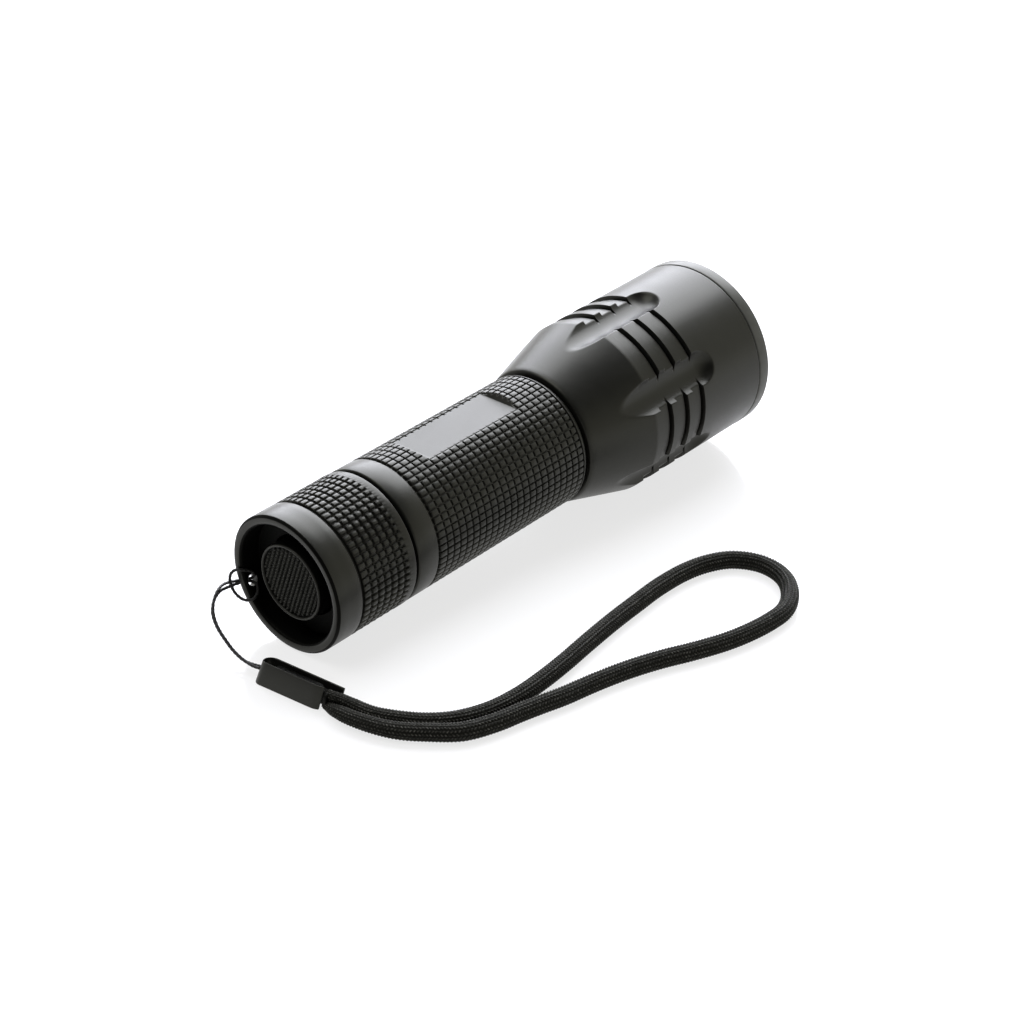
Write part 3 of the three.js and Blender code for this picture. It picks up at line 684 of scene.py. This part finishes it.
rings = []
for w, h, y, zc in ((1.2, 2.8, -7.0, 2.1), (1.9, 3.4, -7.3, 2.1), (1.9, 3.5, -13, 2.1), (1.7, 3.5, -17.4, 2.1)):
    q = slab(w, h)
    rings.append(place_clamp(np.stack([q[:, 0], np.full(len(q), y), zc + q[:, 1]], 1)))
for w, h, y, x, yw, zc in ((1.5, 3.3, -18.2, -8.42, 0.085, 2.0), (1.5, 3.3, -18.8, -8.42, 0.085, 1.96), (2.0, 3.4, -19.25, -8.5, 0.08, 1.95), (2.6, 3.5, -19.5, -8.66, 0.08, 1.95), (2.65, 3.5, -19.8, -8.64, 0.075, 1.95), (2.6, 3.45, -20.05, -8.64, 0.07, 1.95), (2.45, 3.2, -20.15, -8.64, 0.07, 1.95), (2.0, 2.8, -20.2, -8.64, 0.07, 1.95)):
    q = slab(w, h)
    rings.append(np.stack([q[:, 0] * math.cos(yw) + x - X_MID, q[:, 0] * math.sin(yw) + y, zc + q[:, 1]], 1) * MM)
rings = [np.repeat(rings[0].mean(0)[None], 40, 0)] + rings + [np.repeat(rings[-1].mean(0)[None], 40, 0)]
V, F = grid(np.array(rings), closed_u=False, pole0=True, pole1=True)
sleeve = make("cord_sleeve_crimp", V, F, M_SLEEVE, 45, "tail_cap", ["cord_sleeve"])


# ---- knurled and cut surfaces -----------------------------------------------------------------------------
def cuts(x, centres, floor, wall, round_):
    """0 on the floor of a V-shaped cut and 1 on the land between cuts, with rounded shoulders; x and centres in mm."""
    d = np.min(np.abs(np.asarray(x)[..., None] - np.asarray(centres)[None, :]), -1)
    t = np.clip((d - floor) / wall, 0, 1)
    land = np.clip((d - floor - wall) / round_, 0, 1)
    return 0.86 * t + 0.14 * (1 - (1 - land) ** 2)


def phi_samples(n, offset, floor, wall, round_, r):
    """Angles (radians) that follow n longitudinal cuts round the piece."""
    pitch = 360.0 / n
    base = []
    for k in range(n):
        c = offset + k * pitch
        for d in (-floor, floor, floor + wall, floor + wall + round_):
            base.append(c + math.degrees(d / r))
        base.append(c + pitch / 2)
        base.append(c - math.degrees((floor + wall + round_) / r))
        base.append(c - math.degrees((floor + wall) / r))
    return np.radians(np.sort(np.array(base) % 360.0))


def sheet_of(profile_in, s_out, r_out, phi):
    """Joins an outer height field r_out[s, phi] with a plain inner profile to one closed ring surface."""
    inner = np.array(profile_in, float)
    Sa = np.repeat(s_out[:, None], len(phi), 1)
    PH = np.repeat(phi[None, :], len(s_out), 0)
    outer = to_frame(Sa, r_out, PH)
    inn = to_frame(np.repeat(inner[:, 0][:, None], len(phi), 1), np.repeat(inner[:, 1][:, None], len(phi), 1), np.repeat(phi[None, :], len(inner), 0))
    return grid(np.concatenate([outer, inn]), closed_u=True)


def s_cells(centres, floor, wall, round_, s0, s1):
    out = []
    for i, c in enumerate(centres):
        out += [c - floor - wall - round_, c - floor - wall, c - floor, c + floor, c + floor + wall, c + floor + wall + round_]
        if i + 1 < len(centres):
            out.append((c + centres[i + 1]) / 2)
    out = [v for v in out if s0 < v < s1]
    return out


# tail cap
CAP_CUTS = [8.68 + 1.735 * k for k in range(6)]
CF, CW, CR, CD = 0.12, 0.22, 0.36, 0.56
cap_phi = phi_samples(60, 3.3, CF, CW, CR, R_CAP)
prof = [(0.0, 12.95), (0.0, 13.3), (0.0, 13.62), (0.05, 13.7), (0.36, 14.01), (0.44, 14.07), (0.56, 14.1), (2.5, 14.1), (4.5, 14.1), (5.92, 14.1), (6.02, 14.07), (6.1, 13.97), (6.2, 13.55), (6.78, 13.52), (6.88, 13.96), (6.98, 14.06), (7.15, 14.1)]
prof += [(v, 14.1) for v in s_cells(CAP_CUTS, CF, CW, CR, 7.2, 18.2)] + [(7.85, 14.1), (18.0, 14.1), (18.2, 14.1), (18.34, 14.1), (18.5, 14.1), (18.62, 14.1), (19.6, 14.1), (20.1, 14.1), (20.18, 14.08), (20.34, 13.93), (20.4, 13.84)]
prof = prof[:17] + sorted(prof[17:], key=lambda q: q[0])
prof = np.array(prof)
s_o, r_b = prof[:, 0], prof[:, 1]
a = cuts(s_o, CAP_CUTS, CF, CW, CR)
b = cuts(np.degrees(cap_phi), np.concatenate([3.3 + 6 * np.arange(-1, 62)]), math.degrees(CF / R_CAP), math.degrees(CW / R_CAP), math.degrees(CR / R_CAP))
inside = ((s_o > 6.9) & (s_o < 18.55)).astype(float)
fade = np.clip((18.6 - s_o) / 0.3, 0, 1) * inside
ga, gb = 1 - np.where(inside > 0, a, 1.0)[:, None], (1 - b[None, :]) * fade[:, None]
h = 1 - np.maximum(ga, gb)
r_o = r_b[:, None] - CD * (0.88 * np.maximum(ga, gb) + 0.42 * np.minimum(ga, gb))
crown = 0.05 * inside[:, None] * (1 - np.cos(2 * math.pi * (np.degrees(cap_phi)[None, :] - 3.3) / 6.0)) / 2
r_o = r_o + (crown - 0.05 * inside[:, None]) * (h > 0.9)
V, F = sheet_of([(20.4, 13.05), (20.2, 13.0), (15.3, 13.05), (15.3, 11.9), (6.4, 11.9), (6.4, 8.15), (5.0, 8.15), (4.8, 8.3), (4.8, 11.75), (4.7, 11.97), (4.5, 12.06), (1.2, 12.06), (0.55, 12.1), (0.3, 12.2), (0.12, 12.45), (0.03, 12.75)], s_o, r_o, cap_phi)
cap_raw = make("tail_cap_raw", V, F, None, 0)
# the lanyard hole
hp = np.linspace(0, 2 * math.pi, 40, endpoint=False)
hole = []
ca, sa = math.cos(HOLE_PHI), math.sin(HOLE_PHI)
for rr, rad_ in ((10.6, 1.15), (11.9, 1.15), (12.2, 1.15), (13.7, 1.15), (13.95, 1.22), (14.6, 1.7)):
    s_h = 1.95 + rad_ * np.cos(hp)
    tan_ = rad_ * np.sin(hp)
    hole.append(local(s_h, -rr * sa - tan_ * ca, rr * ca - tan_ * sa))
hole = [np.repeat(hole[0].mean(0)[None], 40, 0)] + hole + [np.repeat(hole[-1].mean(0)[None], 40, 0)]
V, F = grid(np.array(hole), closed_u=False, pole0=True, pole1=True)
cutter = make("hole_cutter", V, F, None, 0)
mod = cap_raw.modifiers.new("hole", "BOOLEAN")
mod.operation, mod.object, mod.solver = "DIFFERENCE", cutter, "EXACT"
bpy.context.view_layer.update()
me = bpy.data.meshes.new_from_object(cap_raw.evaluated_get(bpy.context.evaluated_depsgraph_get()))
me.name = "tail_cap_knurled"
for o in (cap_raw, cutter):
    bpy.data.objects.remove(o)
me.polygons.foreach_set("use_smooth", np.ones(len(me.polygons), bool))
me.set_sharp_from_angle(angle=math.radians(38))
me.materials.clear()
me.materials.append(M_ANO)
me.materials.append(M_CUP_PAINTED_SHADE)
co = np.empty(len(me.polygons) * 3)
me.polygons.foreach_get("center", co)
co = co.reshape(-1, 3) / MM - np.array([-X_MID, 0.0, AXIS_Z])
ps, pw = co[:, 0] * CT + co[:, 2] * ST, -co[:, 0] * ST + co[:, 2] * CT
pr = np.hypot(co[:, 1], pw)
# slot 1 takes the near-black copy: painted shade on the cup's inner walls and floor, and a painted dark line on the
# narrow chamfer behind the tail rim
me.polygons.foreach_set("material_index", (((pr < 12.5) & (ps > 0.14)) | ((pr > 13.64) & (ps > 0.01) & (ps < 0.41))).astype(np.int32))
cap = bpy.data.objects.new("tail_cap_knurled", me)
scene.collection.objects.link(cap)
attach(cap, "tail_cap")
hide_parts("tail_cap")

# body tube
GRIP_CUTS = [28.85 + 1.776 * k for k in range(22)]
GF, GW, GR, GD = 0.08, 0.15, 0.24, 0.38
FLAT_Z = 12.9
body_phi = phi_samples(60, 2.5, GF, GW, GR, R_BODY)
extra = np.radians(np.concatenate([np.arange(17.6, 24.0, 0.4), 360 - np.arange(17.6, 24.0, 0.4)]))
body_phi = np.unique(np.round(np.concatenate([body_phi, extra]), 5))
prof = [(21.15, 12.9), (21.15, 13.66), (21.2, 13.78), (21.36, 13.94), (21.5, 14.0), (23.8, 14.0), (26.12, 14.0), (26.22, 13.97), (26.3, 13.87), (26.38, 13.5), (26.92, 13.48), (27.0, 13.86), (27.1, 13.97), (27.25, 14.0)]
tail_ = [(v, 14.0) for v in s_cells(GRIP_CUTS, GF, GW, GR, 27.3, 67.3)] + [(27.9, 14.0), (66.9, 14.0), (67.3, 14.0), (67.5, 13.96), (67.6, 13.88), (67.66, 13.66), (67.78, 13.66), (67.84, 13.9), (67.92, 13.97), (68.06, 13.97), (68.16, 13.9), (68.2, 13.78)]
tail_ += [(v, 14.0) for v in (33.3, 33.42, 33.6, 33.8, 34.0, 34.25, 34.45, 58.8, 59.05, 59.3, 59.55, 59.8, 59.95)]
prof = np.array(prof + sorted(tail_, key=lambda q: q[0]))
s_o, r_b = prof[:, 0], prof[:, 1]
a = cuts(s_o, GRIP_CUTS, GF, GW, GR)
b = cuts(np.degrees(body_phi), np.concatenate([2.5 + 6 * np.arange(-1, 62)]), math.degrees(GF / R_BODY), math.degrees(GW / R_BODY), math.degrees(GR / R_BODY))
inside = ((s_o > 26.95) & (s_o < 67.62)).astype(float)
h = np.minimum(np.where(inside > 0, a, 1.0)[:, None], np.where(inside[:, None] > 0, b[None, :], 1.0))
r_o = r_b[:, None] - GD * (1 - h)
zc = FLAT_Z + np.maximum(0, 34.5 - s_o) + np.maximum(0, s_o - 58.75)
with np.errstate(divide="ignore"):
    lim = np.where(np.cos(body_phi)[None, :] > 0.3, zc[:, None] / np.maximum(np.cos(body_phi)[None, :], 0.3), 99.0)
r_o = np.minimum(r_o, lim)
V, F = sheet_of([(68.2, 12.2), (68.3, 12.1), (69.8, 12.1), (69.8, 12.6), (77.5, 12.6), (77.5, 11.5), (15.5, 11.5), (15.5, 12.4), (15.8, 12.7), (18.9, 12.7), (18.9, 12.05), (20.3, 12.05), (20.3, 12.7), (21.1, 12.7)], s_o, r_o, body_phi)
make("body_tube_knurled", V, F, M_ANO, 38, "body", ["body_tube"])

# head
SC_N, SC_PHI, SC_R, SC_C, SC_END = 6, 4.0, 4.9, 21.52, 100.6
cols = []
for k in range(SC_N):
    c = SC_PHI + 60 * k
    d = np.concatenate([np.arange(0, 7.6, 0.9), np.arange(7.8, 13.6, 0.28), np.arange(13.8, 30, 1.6)])
    cols += list(c + d) + list(c - d[1:])
head_phi = np.unique(np.round(np.radians(np.array(cols) % 360.0), 5))
GROOVES = [(86.7, 90.0), (91.7, 95.0), (96.7, 100.0)]
prof = [(69.5, 13.1), (69.5, 13.86), (69.53, 13.98), (69.6, 14.1), (69.75, 14.24)]
cone = lambda s: 14.3 + (s - 69.7) * (R_HEAD - 14.3) / (84.8 - 69.7)
prof += [(s, cone(s)) for s in np.concatenate([np.arange(70.1, 75.9, 0.8), np.arange(76.2, 84.5, 0.2)])]
prof += [(84.62, cone(84.62)), (84.72, cone(84.72) - 0.005), (84.8, 18.475), (84.9, 18.492), (85.05, 18.5)]


def ring_land(a, b):
    return [(v, 18.5) for v in np.arange(a + 0.15, b - 0.12, 0.24)]


start = 85.1
for g0, g1 in GROOVES:
    prof += ring_land(start, g0) + [(g0 - 0.02, 18.5), (g0, 18.46), (g0 + 0.1, 17.93), (g0 + 0.18, 17.86)]
    prof += [(v, 17.85) for v in np.arange(g0 + 0.4, g1 - 0.8, 0.26)] + [(g1 - 0.66, 17.84), (g1 - 0.6, 17.8), (g1 - 0.54, 17.25), (g1 - 0.3, 17.15), (g1 - 0.06, 17.2), (g1 - 0.015, 17.4), (g1 - 0.01, 18.45), (g1 + 0.02, 18.5)]
    start = g1 + 0.1
prof += [(v, 18.5) for v in np.concatenate([np.arange(100.25, 105.2, 0.2), [106, 109, 112, 115, 117.3]])]
prof += [(117.54, 18.5), (117.64, 18.49), (117.7, 18.46), (117.75, 18.38)]
prof = np.array(prof)
s_o, r_b = prof[:, 0], prof[:, 1]
r_o = np.repeat(r_b[:, None], len(head_phi), 1)
dphi = (np.degrees(head_phi) - SC_PHI + 30) % 60 - 30
dr = np.radians(dphi)
rho2 = np.where(s_o > SC_END, SC_R**2 - (s_o - SC_END) ** 2, SC_R**2)
disc = rho2[:, None] - (SC_C * np.sin(dr)[None, :]) ** 2
cut_r = np.where(disc > 0, SC_C * np.cos(dr)[None, :] - np.sqrt(np.maximum(disc, 0)), 99.0)
cut_r = np.where((s_o[:, None] < 76.0) | (s_o[:, None] > SC_END + SC_R), 99.0, cut_r)
k = 0.2
hh_ = np.clip(0.5 + 0.5 * (cut_r - r_o) / k, 0, 1)
r_o = np.where(cut_r > 50, r_o, cut_r * (1 - hh_) + r_o * hh_ - k * hh_ * (1 - hh_))
V, F = sheet_of([(117.75, 17.5), (117.7, 17.4), (111.6, 17.4), (111.6, 16.2), (106, 16.2), (106, 14.8), (79, 14.8), (79, 12.85), (69.6, 12.85), (69.5, 12.95)], s_o, r_o, head_phi)
make("head_shell_turned", V, F, M_ANO_HEAD, 38, "body", ["head_shell"])

lathe("bezel_ring_turned", [
    (117.9, 17.25), (117.9, 18.3), (118.1, 18.55), (120.62, 18.55), (121.2, 17.98), (121.2, 16.35), (120.4, 15.7), (118.62, 15.7), (118.62, 16.6), (112.2, 16.6), (112.2, 17.25),
], M_BEZEL, "body", ["bezel_ring"], n=240, bevel=0.14)

# rubber button with its grid of small pyramids
BT_PHI, BT_PITCH = math.radians(22.5), 0.935
nphi = 440
phi = np.linspace(0, 2 * math.pi, nphi, endpoint=False)
rr = np.concatenate([[0.0], np.arange(0.08, 7.08, 0.08), [7.1, 7.16, 7.22, 7.28, 7.34, 7.4, 7.48, 7.56, 7.64, 7.7, 7.75, 7.77]])
rim_s = {7.1: 1.82, 7.16: 1.68, 7.22: 1.42, 7.28: 1.24, 7.34: 1.17, 7.4: 1.15, 7.48: 1.15, 7.56: 1.165, 7.64: 1.21, 7.7: 1.3, 7.75: 1.46, 7.77: 1.66}
S_o = np.zeros((len(rr), nphi))
for i, r_ in enumerate(rr):
    if round(float(r_), 2) in rim_s and r_ > 7.09:
        S_o[i] = rim_s[round(float(r_), 2)]
        continue
    x, y = r_ * np.sin(phi), -r_ * np.cos(phi)
    u = (x * math.cos(BT_PHI) + y * math.sin(BT_PHI)) / BT_PITCH
    v = (-x * math.sin(BT_PHI) + y * math.cos(BT_PHI)) / BT_PITCH
    du, dv = np.abs(u - np.round(u)), np.abs(v - np.round(v))
    top = np.clip((0.5 - np.maximum(du, dv) - 0.10) / 0.28, 0, 1)
    top = top * (1.2 - 0.2 * top)
    edge = min(1.0, max(0.0, (7.04 - r_) / 0.2))
    S_o[i] = 1.82 - 0.52 * top * edge
inner = [(6.1, 7.77), (6.1, 6.3), (3.1, 6.3), (3.1, 2.2), (4.4, 2.2), (4.4, 0.0)]
P_o = to_frame(S_o, np.repeat(rr[:, None], nphi, 1), np.repeat(phi[None], len(rr), 0))
P_i = np.array([to_frame(np.full(nphi, s_), np.full(nphi, r_), phi) for s_, r_ in inner])
V, F = grid(np.concatenate([P_o, P_i]), closed_u=False, pole0=True, pole1=True)
boot = make("switch_boot_grid", V, F, M_BOOT, 50, "button", ["switch_boot"])
hts = np.clip((1.82 - S_o) / 0.6, 0, 1)
hts = np.concatenate([[hts[0].mean()], hts[1:].reshape(-1), np.zeros(len(boot.data.vertices) - 1 - hts[1:].size)])
boot.data.attributes.new("height", "FLOAT", "POINT").data.foreach_set("value", hts.astype(np.float32))

# ---- turned inner pieces ------------------------------------------------------------------------------------
def o_ring(name, node, s, r_mid, wire, mat_):
    a = np.linspace(0, 2 * math.pi, 20, endpoint=False)
    pts = [(s + wire * math.cos(t), r_mid + wire * math.sin(t)) for t in a]
    return lathe(name, pts, mat_, "body", [node], n=160, bevel=0.0001, sharp=0)


o_ring("tail_o_ring_seal", "tail_o_ring", 19.6, 12.46, 0.36, M_RING)
o_ring("neck_o_ring_seal", "neck_o_ring", 68.88, 12.78, 0.52, M_RING)
lathe("boot_washer_turned", [(6.75, 8.6), (6.75, 11.6), (7.7, 11.6), (7.7, 8.6)], M_PLASTIC, "tail_cap", ["boot_washer"])
lathe("switch_plunger_turned", [(4.6, 0), (4.6, 3.4), (5.5, 3.4), (5.5, 2.2), (10.6, 2.2), (10.6, 0)], M_WHITE, "button", ["switch_plunger"], n=64)
lathe("switch_housing_turned", [(8.0, 2.7), (8.0, 11.5), (12.6, 11.5), (12.6, 8.5), (9.0, 8.5), (9.0, 2.7)], M_PLASTIC, "tail_cap", ["switch_housing"])
lathe("switch_board_disc", [(12.8, 0), (12.8, 11.3), (13.8, 11.3), (13.8, 0)], M_BOARD, "tail_cap", ["switch_board"])
lathe("led_pill_turned", [(80.6, 11.0), (80.6, 14.6), (95.2, 14.6), (95.2, 3.0), (91.6, 3.0), (91.6, 11.0)], M_ALU, "body", ["led_pill"])
lathe("driver_board_disc", [(81.9, 0), (81.9, 10.8), (83.3, 10.8), (83.3, 0)], M_BOARD, "body", ["driver_board"])
lathe("led_board_disc", [(95.4, 0), (95.4, 9.6), (96.9, 9.6), (96.9, 0)], M_ALU, "body", ["led_board"])
lathe("led_emitter_dome", [(97.05, 0), (97.05, 2.4), (97.9, 2.4), (97.9, 1.62), (98.3, 1.58), (98.7, 1.42), (99.05, 1.12), (99.3, 0.72), (99.45, 0.36), (99.5, 0)], M_LED, "body", ["led_emitter"], n=64, bevel=0.08)
lathe("led_gasket_ring", [(97.05, 2.8), (97.05, 5.6), (97.75, 5.6), (97.75, 2.8)], M_WHITE, "body", ["led_gasket"])
bowl, back = [], []
for i in range(33):
    s_ = 97.95 + (116.0 - 97.95) * (i / 32) ** 1.3
    r_ = math.sqrt(12.16 * (s_ - 96.75))
    bowl.append((s_, r_))
    if i % 4 == 0 and s_ < 115.0:
        back.insert(0, (s_, r_ + 0.75))
back.insert(0, (115.2, 15.95))
lathe("reflector_bowl", bowl + [(116.45, 15.45), (116.45, 16.35), (115.2, 16.35)] + back, M_MIRROR, "body", ["reflector"], n=160, bevel=0.06)
lathe("lens_disc", [(116.6, 0), (116.6, 16.35), (118.1, 16.35), (118.1, 0)], M_GLASS, "body", ["lens"], n=160, bevel=0.15)
lathe("lens_gasket_ring", [(118.16, 15.85), (118.16, 16.45), (118.56, 16.45), (118.56, 15.85)], M_RING, "body", ["lens_gasket"], n=160)
lathe("carrier_rear_plate", [(21.95, 0), (21.95, 5.2), (22.5, 5.2), (22.5, 0)], M_BRASS, "battery_cartridge", ["carrier_rear_contact"], n=96)
lathe("carrier_front_plate", [(73.7, 0), (73.7, 3.6), (74.2, 3.6), (74.2, 2.4), (74.65, 2.2), (74.65, 0)], M_BRASS, "battery_cartridge", ["carrier_front_contact"], n=96)
for i, ph_ in enumerate((60, 180, 300)):
    fwd_, s0 = i != 1, 26.8 if i != 1 else 24.95
    Lc, Rc = 44.5, 5.15
    if fwd_:
        pr = [(s0, 0), (s0, 4.6), (s0 + 0.4, Rc), (s0 + Lc - 1.4, Rc), (s0 + Lc - 1.0, 4.7), (s0 + Lc - 1.0, 1.9), (s0 + Lc, 1.9), (s0 + Lc, 0)]
    else:
        pr = [(s0, 0), (s0, 1.9), (s0 + 1.0, 1.9), (s0 + 1.0, 4.7), (s0 + 1.4, Rc), (s0 + Lc - 0.4, Rc), (s0 + Lc, 4.6), (s0 + Lc, 0)]
    lathe(f"battery_cell_{i + 1}_can", pr, M_CELL, "battery_cartridge", [f"battery_cell_{i + 1}"], n=72, bevel=0.2, centre=(6.05, ph_))

# ---- CAD nodes that keep their shape get their own materials --------------------------------------------------
KEEP = {
    "switch_core": M_WHITE, "switch_retainer": M_ALU, "tail_spring": M_STEEL, "driver_coil": M_PLASTIC, "driver_spring": M_BRASS,
    "carrier_frame": M_PLASTIC, "cell_contact_1": M_STEEL, "cell_contact_2": M_STEEL, "cell_contact_3": M_STEEL,
    "cell_spring_1": M_STEEL, "cell_spring_2": M_STEEL, "cell_spring_3": M_STEEL,
}
for name, m in KEEP.items():
    ob = NODES[name]
    ob.data.materials.clear()
    ob.data.materials.append(m)

# ---- floor and light ------------------------------------------------------------------------------------------
n = Nodes("floor_white")
fl = n.noise(3.0, 3.0)
n.base(n.ramp(fl, [(0.3, (0.215, 0.215, 0.215)), (0.7, (0.23, 0.23, 0.23))]))
n.link(n.span(n.noise(9.0, 2.0), 0.10, 0.16), n.b.inputs["Roughness"])
n.set(IOR=1.3, Emission_Color=(1.0, 1.0, 1.0, 1.0), Emission_Strength=0.74)
FLOOR_Z = -0.00002
floor_me = bpy.data.meshes.new("floor")
floor_me.from_pydata([(-3, -3, FLOOR_Z), (3, -3, FLOOR_Z), (3, 3, FLOOR_Z), (-3, 3, FLOOR_Z)], [], [(0, 1, 2, 3)])
floor_me.materials.append(n.m)
floor = bpy.data.objects.new("floor", floor_me)
scene.collection.objects.link(floor)


def area(name, direction, distance, size, size_y, power, colour=(1, 1, 1)):
    d = Vector(direction).normalized()
    li = bpy.data.lights.new(name, "AREA")
    li.shape, li.size, li.size_y, li.energy, li.color = "RECTANGLE", size, size_y, power, colour
    ob = bpy.data.objects.new(name, li)
    ob.location = d * distance
    ob.rotation_mode = "QUATERNION"
    ob.rotation_quaternion = d.to_track_quat("Z", "Y")
    scene.collection.objects.link(ob)
    return ob


area("softbox_back", (0.58, 0.42, 0.60), 1.3, 1.5, 1.5, 63, (0.885, 0.9, 1.0))
area("softbox_top", (-0.35, 0.25, 0.9), 1.3, 0.9, 0.9, 8)

world = bpy.data.worlds.new("studio")
scene.world = world
world.use_nodes = True
wt = world.node_tree
bg = wt.nodes["Background"]
tc = wt.nodes.new("ShaderNodeTexCoord")
sep = wt.nodes.new("ShaderNodeSeparateXYZ")
rp = wt.nodes.new("ShaderNodeValToRGB")
lean = wt.nodes.new("ShaderNodeMath")
lean.operation = "MULTIPLY_ADD"
wt.links.new(tc.outputs["Generated"], sep.inputs[0])
wt.links.new(sep.outputs[0], lean.inputs[0])
lean.inputs[1].default_value = -0.85
wt.links.new(sep.outputs[2], lean.inputs[2])
wt.links.new(lean.outputs[0], rp.inputs["Fac"])
STOPS = [(0.0, 0.98), (0.18, 0.9), (0.32, 0.62), (0.54, 0.3), (0.76, 0.055)]
while len(rp.color_ramp.elements) < len(STOPS):
    rp.color_ramp.elements.new(0.5)
for e, (p, c) in zip(rp.color_ramp.elements, STOPS):
    e.position, e.color = p, (c, c * 0.99, c * 0.9, 1)
wt.links.new(rp.outputs["Color"], bg.inputs["Color"])
bg.inputs["Strength"].default_value = 1.0
